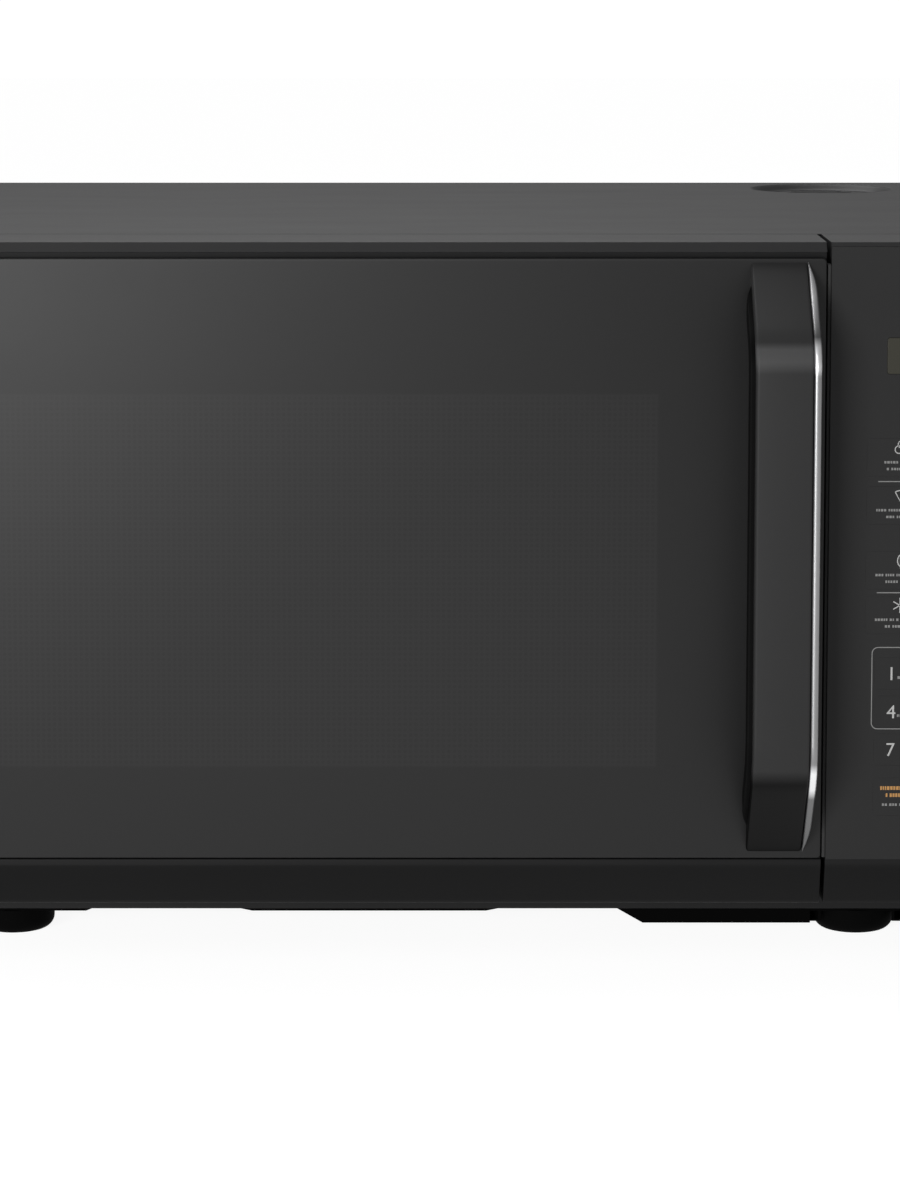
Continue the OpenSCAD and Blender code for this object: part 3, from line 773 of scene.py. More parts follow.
def plate(
    patch: Patch, outline: np.ndarray, y_front: float, y_back: float, edge: float, steps: int = 4
) -> None:
    """Adds an upright plate with eased front and back edges.

    The X-Z outline is carried along Y; near each face it shrinks towards its
    own middle by edge * (1 - cos a) while Y moves by edge * sin a.

    Args:
        patch: Where the surface goes.
        outline: Rows of X and Z, counter-clockwise.
        y_front: Y of the front face.
        y_back: Y of the back face.
        edge: Radius of the eased edges.
        steps: Points on each eased edge.
    """
    middle = (outline.max(0) + outline.min(0)) / 2
    half = (outline.max(0) - outline.min(0)) / 2
    angles = np.linspace(0, math.pi / 2, steps)
    shrink = edge * (1 - np.sin(angles))
    depth = edge * (1 - np.cos(angles))
    shrinks = np.concatenate([shrink, shrink[::-1]])
    depths = np.concatenate([y_front + depth, y_back - depth[::-1]])
    share = 1 - shrinks[:, None] / half[None]
    flat = middle + (outline[None] - middle) * share[:, None]
    net = np.stack([flat[..., 0], np.broadcast_to(depths[:, None], flat.shape[:2]), flat[..., 1]], -1)
    patch.grid(net, round_v=True, cap_first=True, cap_last=True)


def swept(
    patch: Patch, path: np.ndarray, section: np.ndarray, closed: bool = False, width: np.ndarray | None = None
) -> None:
    """Adds a section carried along a path of points.

    At each point the section's two coordinates run along the path's side and
    its upward normal, taken from the path's own direction.

    Args:
        patch: Where the surface goes.
        path: Points of the path.
        section: Rows of side and up, as an outline.
        closed: Whether the path joins its own start.
        width: A factor on the section at each point, or nothing.
    """
    ahead = np.roll(path, -1, 0) - np.roll(path, 1, 0)
    if not closed:
        ahead[0], ahead[-1] = path[1] - path[0], path[-1] - path[-2]
    ahead /= np.linalg.norm(ahead, axis=1)[:, None]
    helper = np.where(np.abs(ahead[:, 2:3]) < 0.95, [[0.0, 0.0, 1.0]], [[1.0, 0.0, 0.0]])
    side = np.cross(ahead, helper)
    side /= np.linalg.norm(side, axis=1)[:, None]
    up = np.cross(side, ahead)
    factor = np.ones(len(path)) if width is None else width
    net = path[:, None] + factor[:, None, None] * (
        section[None, :, :1] * side[:, None] + section[None, :, 1:] * up[:, None]
    )
    patch.grid(net, round_v=True, round_u=closed, cap_first=not closed, cap_last=not closed)


def circle_section(radius: float, steps: int = 10) -> np.ndarray:
    """Outline of a round section."""
    return arc((0, 0), radius, 0, 360 * (1 - 1 / steps), steps)


def eased_path(corners: np.ndarray, radii: Sequence[float], steps: int = 9) -> np.ndarray:
    """A polyline whose inner corners are rounded by quadratic curves.

    Near a corner c, between points a and b on its two sides, the curve is
    (1-t)^2 a + 2 t (1-t) c + t^2 b. Each leg and each curve gives the same
    number of points, so that two such paths match point for point.

    Args:
        corners: The polyline's points.
        radii: Distance from each inner corner at which its curve starts.
        steps: Points on each curve and each leg.

    Returns:
        The rounded path.
    """
    parts = []
    start = corners[0]
    for corner, following, reach in zip(corners[1:-1], corners[2:], radii):
        to_start, to_next = start - corner, following - corner
        a = corner + to_start / np.linalg.norm(to_start) * reach
        b = corner + to_next / np.linalg.norm(to_next) * reach
        t = np.linspace(0, 1, steps)[:, None]
        parts.append(start + (a - start) * t[:-1])
        parts.append((1 - t) ** 2 * a + 2 * t * (1 - t) * corner + t**2 * b)
        start = b
    t = np.linspace(0, 1, steps)[1:, None]
    parts.append(start + (corners[-1] - start) * t)
    return np.vstack(parts)


# ------------------------------------------------------------- placing pieces


def dress(piece: bpy.types.Object, finish: Any) -> None:
    """Gives every material slot of a piece the same finish.

    Args:
        piece: The piece.
        finish: Its finish.
    """
    slots = piece.data.materials
    if not slots:
        slots.append(material_of(finish))
    for index in range(len(slots)):
        slots[index] = material_of(finish)


def settle(
    piece: bpy.types.Object, body: str, finish: Any, replaced: Sequence[str] = ()
) -> bpy.types.Object:
    """Rides a new piece on its body, gives it its finish and hides what it stands for.

    Args:
        piece: The new piece.
        body: Name of the body it moves with.
        finish: Its finish.
        replaced: Frame nodes it stands for.

    Returns:
        The piece.
    """
    dress(piece, finish)
    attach(piece, body)
    if replaced:
        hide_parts(*replaced)
    LOG.info("%s rides on %s", piece.name, body)
    return piece


def body_of(node: str) -> str:
    """The body that holds a node."""
    for body, members in frame["record"]["behaviour"]["bodies"].items():
        if node in members:
            return body
    raise KeyError(node)


def keep(node: str, finish: Any) -> None:
    """Shows a frame node as it is, with a finish of its own."""
    dress(frame["nodes"][node], finish)
    LOG.info("%s keeps its frame mesh", node)


def ease(node: str, finish: Any, edge: float, steps: int = 2) -> bpy.types.Object:
    """Stands a copy of a frame node, with eased edges, in the node's place.

    Args:
        node: The frame node.
        finish: Its finish.
        edge: Width of the eased edges.
        steps: How many facets each eased edge has.

    Returns:
        The new piece.
    """
    mesh = frame["nodes"][node].data.copy()
    form = bmesh.new()
    form.from_mesh(mesh)
    bmesh.ops.remove_doubles(form, verts=form.verts, dist=1e-6)
    bmesh.ops.dissolve_limit(
        form, angle_limit=math.radians(0.6), verts=form.verts, edges=form.edges
    )
    form.to_mesh(mesh)
    form.free()
    mesh.shade_smooth()
    mesh.set_sharp_from_angle(angle=math.radians(35))
    piece = bpy.data.objects.new(node + "_eased", mesh)
    bpy.context.scene.collection.objects.link(piece)
    bevel = piece.modifiers.new("eased_edges", "BEVEL")
    bevel.width = edge
    bevel.segments = steps
    bevel.limit_method = "ANGLE"
    bevel.angle_limit = math.radians(40)
    bevel.use_clamp_overlap = True
    bevel.harden_normals = True
    return settle(piece, body_of(node), finish, [node])


def corners(node: str) -> tuple[np.ndarray, np.ndarray]:
    """A frame node's lowest and highest corners as arrays."""
    low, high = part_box(node)
    return np.array(low), np.array(high)


# ----------------------------------------------------------------- the studio


@dataclass
class Studio:
    """Floor, light and camera."""

    distance: float = 1.600
    camera_x: float = -0.0244
    camera_z: float = 0.4196
    pitch: float = 6.223
    lens: float = 121.41
    shift: tuple[float, float] = (0.031, -0.2)

    def build(self) -> None:
        """Makes the floor, the lights, the sky and the camera."""
        self._camera()
        self._floor()
        self._sky()
        self._lights()

    def _camera(self) -> None:
        """Places the camera in front of the door, looking a little down."""
        door_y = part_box("door_glass")[0].y
        data = bpy.data.cameras.new("camera")
        data.lens = self.lens
        data.shift_x, data.shift_y = self.shift
        data.clip_end = 50.0
        camera = bpy.data.objects.new("camera", data)
        camera.location = (self.camera_x, door_y - self.distance, self.camera_z)
        camera.rotation_euler = (math.radians(90 - self.pitch), 0.0, 0.0)
        bpy.context.scene.collection.objects.link(camera)
        bpy.context.scene.camera = camera

    def _floor(self) -> None:
        """Lays a wide pale floor under the feet."""
        reach = np.linspace(-9.0, 9.0, 19)
        x, y = np.meshgrid(reach, reach, indexing="ij")
        patch = Patch()
        patch.grid(np.stack([x, y, np.zeros_like(x)], -1))
        floor = patch.build("floor")
        dress(floor, FLOOR)

    @staticmethod
    def _sky() -> None:
        """Lights the whole room with an even pale sky."""
        world = bpy.data.worlds.new("room")
        world.use_nodes = True
        tree = world.node_tree
        tree.nodes.clear()
        seen = tree.nodes.new("ShaderNodeLightPath").outputs["Is Camera Ray"]
        backdrop, room = (tree.nodes.new("ShaderNodeBackground") for _ in range(2))
        for node, strength in ((backdrop, 1.05), (room, 0.32)):
            node.inputs["Color"].default_value = (1.0, 1.0, 1.0, 1.0)
            node.inputs["Strength"].default_value = strength
        mixed = tree.nodes.new("ShaderNodeMixShader")
        tree.links.new(seen, mixed.inputs[0])
        tree.links.new(room.outputs[0], mixed.inputs[1])
        tree.links.new(backdrop.outputs[0], mixed.inputs[2])
        tree.links.new(mixed.outputs[0], tree.nodes.new("ShaderNodeOutputWorld").inputs[0])
        bpy.context.scene.world = world
        bpy.context.scene.view_settings.view_transform = "Standard"

    def _lights(self) -> None:
        """Hangs one wide soft box overhead and one at the left front."""
        self._soft_box("overhead", (-0.4, 1.0, 2.1), (0.0, 0.1, 0.0), (2.0, 1.6), 75.0)
        self._soft_box("left_front", (-1.15, -2.65, 0.50), (-0.1, -0.17, 0.18), (1.0, 0.8), 66.0)

    @staticmethod
    def _soft_box(
        name: str, place: RGB, target: RGB, size: tuple[float, float], power: float
    ) -> None:
        """Adds an area light that looks at a point.

        Args:
            name: The light's name.
            place: Where it hangs.
            target: What it looks at.
            size: Its width and height.
            power: Its power in watts.
        """
        data = bpy.data.lights.new(name, "AREA")
        data.shape = "RECTANGLE"
        data.size, data.size_y = size
        data.energy = power
        lamp = bpy.data.objects.new(name, data)
        lamp.location = place
        aim = Vector(target) - Vector(place)
        lamp.rotation_euler = aim.to_track_quat("-Z", "Y").to_euler()
        bpy.context.scene.collection.objects.link(lamp)


# ------------------------------------------------------------------- the case


@dataclass
class Case:
    """Cover, rear panel, base, feet, front plate and screws."""

    foot_steps: int = 64
    dish_steps: int = 128
    dish_middle: tuple[float, float] = (170 * MM, 154 * MM)
    dish_floor_radius: float = 28.5 * MM
    dish_rim_radius: float = 34.2 * MM
    dish_drop: float = 2.9 * MM

    def build(self) -> None:
        """Makes the outer shell's pieces."""
        ease("outer_cover", COVER_PAINT, 0.25 * MM)
        ease("rear_panel", ZINC_SHEET, 0.2 * MM)
        ease("base_plate", BASE_PAINT_AND_SHADE, 0.25 * MM)
        ease("front_plate", BLACK_ENAMEL, 0.25 * MM)
        ease("hinge_brackets", BLACK_ENAMEL, 0.3 * MM)
        ease("cord_gland", TRIM_PLASTIC_WITH_PAINTED_LIGHT, 0.5 * MM)
        self._vent_lip()
        self._feet()
        self._screws()

    def _vent_lip(self) -> None:
        """Adds the pressed lip of the vent dish, which eases from the cover's top down to the dish's floor.

        Height over radius is z = top - drop * (1 + cos(pi * s)) / 2, where s runs
        from 0 on the inside to 1 at the rim. A thin underside closes the ring.
        """
        share = np.linspace(0.0, 1.0, 13)
        radius = self.dish_floor_radius + (self.dish_rim_radius - self.dish_floor_radius) * share
        top = corners("outer_cover")[1][2] + 0.03 * MM
        height = top - self.dish_drop * (1 + np.cos(math.pi * share)) / 2
        upper = np.stack([radius, height], 1)
        lower = np.array([[33.2 * MM, upper[-1, 1] - 0.25 * MM], [32.0 * MM, upper[0, 1] - 0.05 * MM]])
        patch = Patch()
        turned(patch, np.vstack([upper, lower]), (*self.dish_middle, 0.0), (0, 0, 1), self.dish_steps, False)
        settle(patch.build("vent_lip"), "case", COVER_PAINT)

    def _feet(self) -> None:
        """Turns four domed rubber feet with a tread ring under each."""
        low, high = corners("feet")
        radius = 16.5 * MM
        top = foot_top()
        patch = Patch()
        bend = arc((radius - 5 * MM, 5 * MM), 5 * MM, -90, 0, 9)
        profile = np.vstack([
            [[6 * MM, 0.9 * MM], [7 * MM, 0.0], [9.5 * MM, 0.0], [10 * MM, 0.6 * MM], [10.6 * MM, 0.0]],
            bend,
            [[radius, top]],
        ])
        for x in (low[0] + radius, high[0] - radius):
            for y in (low[1] + radius, high[1] - radius):
                turned(patch, profile, (x, y, 0.0), (0, 0, 1), self.foot_steps)
        settle(patch.build("feet_turned"), "case", RUBBER, ["feet"])

    @staticmethod
    def _screws() -> None:
        """Makes domed screw heads with a cross recess, and their shanks.

        Over a disc the head's height is dome - recess, where the recess is a
        cross: deep where |u| or |v| is small, within a short arm.
        """
        low, high = corners("rear_panel")
        heads = screw_places()
        steps, rings = 48, 14
        angle = np.linspace(0, FULL_TURN, steps, endpoint=False)
        share = np.linspace(0.02, 1.0, rings)
        u = share[:, None] * np.cos(angle)[None]
        v = share[:, None] * np.sin(angle)[None]
        dome = 1.8 * MM * (1 - 0.75 * share[:, None] ** 3) * np.ones_like(u)
        arm = np.maximum(np.abs(u), np.abs(v)) < 0.56
        slot = np.minimum(np.abs(u), np.abs(v)) < 0.11
        height = dome - np.where(arm & slot, 0.9 * MM, 0.0)
        seat = high[1] - stand_off()
        patch = Patch()
        for x, z in heads:
            top = np.stack([x + 3.8 * MM * u, seat + height, z + 3.8 * MM * v], -1)
            rim = np.stack([
                x + 3.8 * MM * np.cos(angle), np.full(steps, seat), z + 3.8 * MM * np.sin(angle)
            ], -1)[None]
            shank = np.stack([
                x + 1.8 * MM * np.cos(angle), np.full(steps, seat), z + 1.8 * MM * np.sin(angle)
            ], -1)[None]
            end = shank - np.array([0, 8 * MM, 0])
            patch.grid(np.vstack([top, rim, shank, end]), round_v=True, cap_first=True, cap_last=True)
        settle(patch.build("rear_screws_turned"), "case", PLATED_STEEL, ["case_screws"])


def foot_top() -> float:
    """Height at which the base rests on its feet."""
    return 10.3 * MM


def stand_off() -> float:
    """How far the rear stand-offs reach past the sheet."""
    low, high = corners("rear_panel")
    return float(high[1] - corners("outer_cover")[1][1])


def screw_places() -> list[tuple[float, float]]:
    """X and Z of each rear screw, from the frame's own screws.

    Returns:
        One pair for each screw.
    """
    mesh = frame["nodes"]["case_screws"].data
    points = np.array([v.co for v in mesh.vertices])
    rear = points[points[:, 1] > points[:, 1].max() - 0.1 * MM]
    places: list[tuple[float, float]] = []
    for x, _, z in rear:
        near = [p for p in places if abs(p[0] - x) < 10 * MM and abs(p[1] - z) < 10 * MM]
        if not near:
            group = rear[(np.abs(rear[:, 0] - x) < 10 * MM) & (np.abs(rear[:, 2] - z) < 10 * MM)]
            middle = (group.max(0) + group.min(0)) / 2
            places.append((float(middle[0]), float(middle[2])))
    return places


# ------------------------------------------------------------------- the oven


@dataclass
class Oven:
    """The cavity, its turntable and the parts that heat and cool it."""

    tray_steps: int = 160

    def build(self) -> None:
        """Makes everything inside the case."""
        ease("oven_cavity", OVEN_ENAMEL, 0.3 * MM)
        self._heating()
        self._cooling()
        self._tray()
        self._ring()
        self._rollers()
        ease("turntable_coupler", WHITE_PLASTIC, 0.7 * MM, 3)
        ease("turntable_motor", PLATED_STEEL, 0.5 * MM)

    @staticmethod
    def _heating() -> None:
        """Dresses the microwave source, its supply and the waveguide."""
        ease("waveguide", GUIDE_METAL, 0.5 * MM)
        ease("waveguide_cover", MICA, 0.15 * MM)
        ease("magnetron", GUIDE_METAL, 0.3 * MM)
        ease("transformer", IRON_CORE, 0.6 * MM)
        ease("capacitor", GUIDE_METAL, 0.8 * MM, 3)
        ease("cavity_lamp", ClearGlass("lamp_glass", (0.95, 0.88, 0.70)), 0.8 * MM, 3)

    def _cooling(self) -> None:
        """Dresses the fan's housing, motor and duct, and makes its curved blades."""
        ease("fan_housing", DARK_FAN_PLASTIC, 0.6 * MM)
        ease("fan_motor", PLATED_STEEL, 0.5 * MM)
        ease("air_duct", WHITE_PLASTIC, 0.6 * MM)
        self._fan()

    @staticmethod
    def _fan() -> None:
        """Makes seven twisted blades on a hub.

        A blade point at radius r and chord share c stands at angle a0 + c * w
        round the shaft and at depth c * chord * sin(pitch(r)), where the pitch
        falls from root to tip, and the blade bows by a parabola in c.
        """
        low, high = corners("fan_blade")
        middle = (low + high) / 2
        tip = (high[2] - low[2]) / 2 - 0.5 * MM
        plane = low[1] + 7 * MM
        radius = np.linspace(8 * MM, tip, 12)[:, None]
        chord = np.linspace(-0.5, 0.5, 13)[None]
        pitch = np.radians(np.interp(radius, [8 * MM, tip], [40, 24]))
        wide = 15 * MM
        turn = chord * wide * np.cos(pitch) / radius
        depth = chord * wide * np.sin(pitch) + 1.2 * MM * (1 - 4 * chord**2)
        patch = Patch()
        for k in range(7):
            around = turn + k * FULL_TURN / 7
            faces = []
            for lift in (-0.5 * MM, 0.5 * MM):
                faces.append(np.stack([
                    middle[0] + radius * np.cos(around),
                    plane + depth + lift,
                    middle[2] + radius * np.sin(around),
                ], -1))
            net = np.concatenate([faces[0], faces[1][:, ::-1]], 1)
            patch.grid(net, round_v=True, cap_first=True, cap_last=True)
        hub = np.vstack([
            [[0.4 * MM, 0.0]], arc((7.5 * MM, 1.5 * MM), 1.5 * MM, -90, 0, 5), [[9 * MM, 14 * MM]],
            [[2 * MM, 14 * MM], [2 * MM, high[1] - low[1]], [0.4 * MM, high[1] - low[1]]],
        ])
        turned(patch, hub, (middle[0], low[1], middle[2]), (0, 1, 0), 40)
        settle(patch.build("fan_wheel"), "fan", WHITE_PLASTIC, ["fan_blade"])

    def _tray(self) -> None:
        """Turns the glass tray: flat floor, rolled rim, and a stepped foot below.

        The profile runs from the middle of the underside out to the rim and
        back over the upper face, with the rim as a half circle.
        """
        low, high = corners("glass_tray")
        middle = (low + high) / 2
        radius = (high[0] - low[0]) / 2
        base = low[2] + 6 * MM
        rim_top = high[2] - base
        rim_r = 1.9 * MM
        under = [[0.3 * MM, 0.0], [12 * MM, 0.0], [30 * MM, 0.0], [60 * MM, 0.0], [90 * MM, 0.0]]
        bend = arc((radius - 15 * MM, 11 * MM), 11 * MM, -90, -38, 8)
        rim = arc((radius - rim_r, rim_top - rim_r), rim_r, -30, 190, 12)
        back = arc((radius - 17 * MM, 14 * MM), 9.6 * MM, -36, -90, 8)
        top = [[90 * MM, 4.4 * MM], [60 * MM, 4.4 * MM], [30 * MM, 4.4 * MM], [0.3 * MM, 4.4 * MM]]
        profile = np.vstack([under, bend, rim, back, top])
        patch = Patch()
        turned(patch, profile, (middle[0], middle[1], base), (0, 0, 1), self.tray_steps)
        for k in range(3):
            a = math.radians(60 + 120 * k)
            along = np.array([math.cos(a), math.sin(a), 0.0])
            root = np.array([middle[0], middle[1], low[2]]) + along * 16 * MM
            lug = np.array([[4.2 * MM, 0.0], [5 * MM, 1.5 * MM], [5 * MM, 5.98 * MM]])
            turned(patch, np.vstack([[[0.3 * MM, 0.0]], lug]), root, (0, 0, 1), 20)
        tray = patch.build("glass_tray_turned")
        settle(tray, "tray", ClearGlass("tray_glass"), ["glass_tray"])

    @staticmethod
    def _ring() -> None:
        """Turns the roller ring with its rounded rail and three stub axles."""
        low, high = corners("roller_ring")
        wheel_low, wheel_high = corners("roller_1")
        middle = np.array([
            (corners("glass_tray")[0][0] + corners("glass_tray")[1][0]) / 2,
            (corners("turntable_coupler")[0][1] + corners("turntable_coupler")[1][1]) / 2,
            (low[2] + high[2]) / 2,
        ])
        outer = (high[1] - low[1]) / 2
        outline = rounded_rectangle(outer - 6 * MM, outer, -3 * MM, 3 * MM, 1.6 * MM, 5)
        patch = Patch()
        turned(patch, outline, middle, (0, 0, 1), 120, cap=False)
        reach = wheel_high[0] - middle[0] + 2.2 * MM
        stub = np.array([
            [0.2 * MM, outer - 2 * MM], [1.5 * MM, outer - 2 * MM], [1.5 * MM, reach - 0.5 * MM],
            [1.1 * MM, reach], [0.2 * MM, reach],
        ])
        for k in range(3):
            a = math.radians(120 * k)
            turned(patch, stub, middle, (math.cos(a), math.sin(a), 0.0), 20)
        settle(patch.build("roller_ring_turned"), "ring", WHITE_PLASTIC, ["roller_ring"])

    @staticmethod
    def _rollers() -> None:
        """Turns the three rollers, with eased rims and a bore for the stub axle."""
        low, high = corners("roller_1")
        center_x = (corners("glass_tray")[0][0] + corners("glass_tray")[1][0]) / 2
        center_y = (corners("turntable_coupler")[0][1] + corners("turntable_coupler")[1][1]) / 2
        axle_z = (low[2] + high[2]) / 2
        start, end = low[0] - center_x, high[0] - center_x
        radius = (high[2] - low[2]) / 2
        e = 0.9 * MM
        section = np.array([
            [1.56 * MM, start], [radius - e - 2 * MM, start], [radius - e - 1.6 * MM, start + 0.7 * MM],
            [radius - e - 0.6 * MM, start + 0.7 * MM], [radius - e - 0.4 * MM, start], [radius - e, start],
            [radius, start + e], [radius, end - e], [radius - e, end], [radius - e - 0.4 * MM, end],
            [radius - e - 0.6 * MM, end - 0.7 * MM], [radius - e - 1.6 * MM, end - 0.7 * MM],
            [radius - e - 2 * MM, end], [1.56 * MM, end],
        ])
        for k, letter in enumerate("abc"):
            a = math.radians(120 * k)
            patch = Patch()
            turned(
                patch, section, (center_x, center_y, axle_z), (math.cos(a), math.sin(a), 0.0), 48, cap=False
            )
            node = "roller_%d" % (k + 1)
            settle(patch.build(node + "_turned"), "roller_" + letter, WHITE_PLASTIC, [node])


# ------------------------------------------------------------------- the door


@dataclass
class Door:
    """The door with its glass, handle, screen and latch."""

    glass_edge: float = 0.5 * MM
    bend: float = 11 * MM
    # How far the near-black painted-shadow band reaches past the handle's left side.
    liner: float = 2.2 * MM

    def build(self) -> None:
        """Makes the door's pieces."""
        ease("door_frame", TRIM_PLASTIC_WITH_PAINTED_LIGHT, 0.45 * MM, 3)
        ease("choke_cover", TRIM_PLASTIC_WITH_PAINTED_LIGHT, 0.6 * MM, 3)
        low, high = self.window()
        ease("door_screen", Perforated("perforated_sheet", low, high), 0.3 * MM)
        self._glass(low, high)
        self._handle()
        ease("latch_hooks", WHITE_PLASTIC, 0.4 * MM)
        self._spring()
        ease("latch_board", WHITE_PLASTIC, 0.5 * MM)
        ease("interlock_switches", SWITCH_PLASTIC, 0.4 * MM)

    @staticmethod
    def window() -> tuple[tuple[float, float], tuple[float, float]]:
        """The window's opening, centred on the oven cavity's width.

        Returns:
            Its lowest and its highest X and Z.
        """
        oven_low, oven_high = corners("oven_cavity")
        middle = (oven_low[0] + oven_high[0]) / 2
        half_width, z0, z1 = 134 * MM, 80 * MM, 232 * MM
        return (middle - half_width, z0), (middle + half_width, z1)

    def _glass(self, low: tuple[float, float], high: tuple[float, float]) -> None:
        """Makes the front glass, a rounded plate with eased edges.

        Args:
            low: Lowest X and Z of the window.
            high: Its highest X and Z.
        """
        a, b = corners("door_glass")
        patch = Patch()
        plate(patch, rounded_rectangle(a[0], b[0], a[2], b[2], 1.5 * MM), a[1], b[1], self.glass_edge)
        glass = patch.build("door_glass_plate")
        settle(glass, "door", SmokedDoorGlass("door_glass", low, high), ["door_glass"])

    def _rails(self) -> tuple[np.ndarray, np.ndarray]:
        """Front and back lines of the handle in the Y-Z plane, point for point.

        Returns:
            The front line and the back line.
        """
        low, high = corners("door_handle")
        front, face = low[1], high[1]
        back = front + 12 * MM
        z0, z1 = low[2], high[2]
        lead = np.array([[face, z0], [front, z0 + 38 * MM], [front, z1 - 31 * MM], [face, z1]])
        rear = np.array([
            [face, z0 + 18 * MM], [back, z0 + 43 * MM], [back, z1 - 36 * MM], [face, z1 - 15 * MM]
        ])
        return (
            eased_path(lead, [self.bend, self.bend]),
            eased_path(rear, [self.bend * 0.8, self.bend * 0.8]),
        )

    def _bar(
        self, x0: float, x1: float, corner: float, crown: float, taper: float, shallow: float = 0.0
    ) -> np.ndarray:
        """Net of a bar between the handle's two lines.

        Round the section, a rounded rectangle gives an X share and a depth
        share; a point is front + depth * (back - front), and crown pushes the
        front middle outwards by a parabola in X.

        Args:
            x0: Left side.
            x1: Right side.
            corner: Radius of the section's corners.
            crown: How far the front bows out.
            taper: Share of the width lost at the two tips.
            shallow: Share of the bar's depth left out at its front.

        Returns:
            The net, one row for each station.
        """
        front, back = self._rails()
        deep = 12 * MM
        ring = rounded_rectangle(0.0, x1 - x0, 0.0, deep, corner, 5)
        across, inward = ring[:, 0] / (x1 - x0), shallow + (1 - shallow) * ring[:, 1] / deep
        station = np.linspace(-1, 1, len(front))
        width = 1 - taper * np.clip(np.abs(station) * 6 - 5, 0, 1) ** 2
        y = front[:, :1] + inward[None] * (back[:, :1] - front[:, :1])
        z = front[:, 1:] + inward[None] * (back[:, 1:] - front[:, 1:])
        y = y - crown * (1 - (2 * across[None] - 1) ** 2) * (1 - inward[None])
        x = x0 + across[None] * (x1 - x0) * width[:, None]
        return np.stack([np.broadcast_to(x, y.shape), y, z], -1)

    def _handle(self) -> None:
        """Carries three sections along the handle's lines: the bar, a near-black painted-shadow band behind
        its left side, and its bright edge.
        """
        low, high = corners("door_handle")
        bar = Patch()
        bar.grid(
            self._bar(low[0], high[0] - 0.05 * MM, 1.1 * MM, 0.0, 0.0),
            round_v=True, cap_first=True, cap_last=True,
        )
        settle(bar.build("handle_bar", 50), "door", HANDLE_SATIN_WITH_PAINTED_LIGHT, ["door_handle"])
        # Painted shadow: a near-black band behind the bar's left side stands for the shade and dark
        # reflection in the gap behind the bar.
        liner = Patch()
        net = self._bar(-(low[0] + 2 * MM), -(low[0] - self.liner), 0.9 * MM, 0.0, 0.9, 0.45)
        liner.grid(net * np.array([-1, 1, 1]), round_v=True, cap_first=True, cap_last=True)
        settle(liner.build("handle_painted_shadow_sheet", 50), "door", PAINTED_SHADOW_SHEET)
        low, high = corners("handle_trim")
        strip = Patch()
        strip.grid(
            self._bar(low[0], high[0], 1.0 * MM, 0.35 * MM, 0.85), round_v=True, cap_first=True, cap_last=True
        )
        settle(strip.build("handle_bright_edge", 50), "door", CHROME_WITH_PAINTED_LIGHT, ["handle_trim"])

    @staticmethod
    def _spring() -> None:
        """Winds the latch spring: a helix with closed turns at its two ends."""
        low, high = corners("latch_spring")
        middle = (low + high) / 2
        wire = 0.5 * MM
        radius = (high[0] - low[0]) / 2 - wire
        turns = 8
        t = np.linspace(0, 1, turns * 18 + 1)
        rise = np.clip((t - 0.1) / 0.8, 0, 1)
        height = low[2] + wire + rise * (high[2] - low[2] - 2 * wire) + (t - rise) * wire * 1.5
        path = np.stack([
            middle[0] + radius * np.cos(t * turns * FULL_TURN),
            middle[1] + radius * np.sin(t * turns * FULL_TURN),
            height,
        ], 1)
        patch = Patch()
        swept(patch, path, circle_section(wire, 8))
        settle(patch.build("latch_spring_coil"), "door", SPRING_WIRE, ["latch_spring"])


# ---------------------------------------------------------- the control panel


class Icon(Enum):
    """Small pictures on the preset keys."""

    FLAKE = "defrost"
    KERNEL = "popped corn"
    CUP = "drink"
    WEDGE = "slice"
    LEAF = "vegetable"
    CLOCK = "timer"
    STEAM = "reheat"
    BOWL = "bowl"


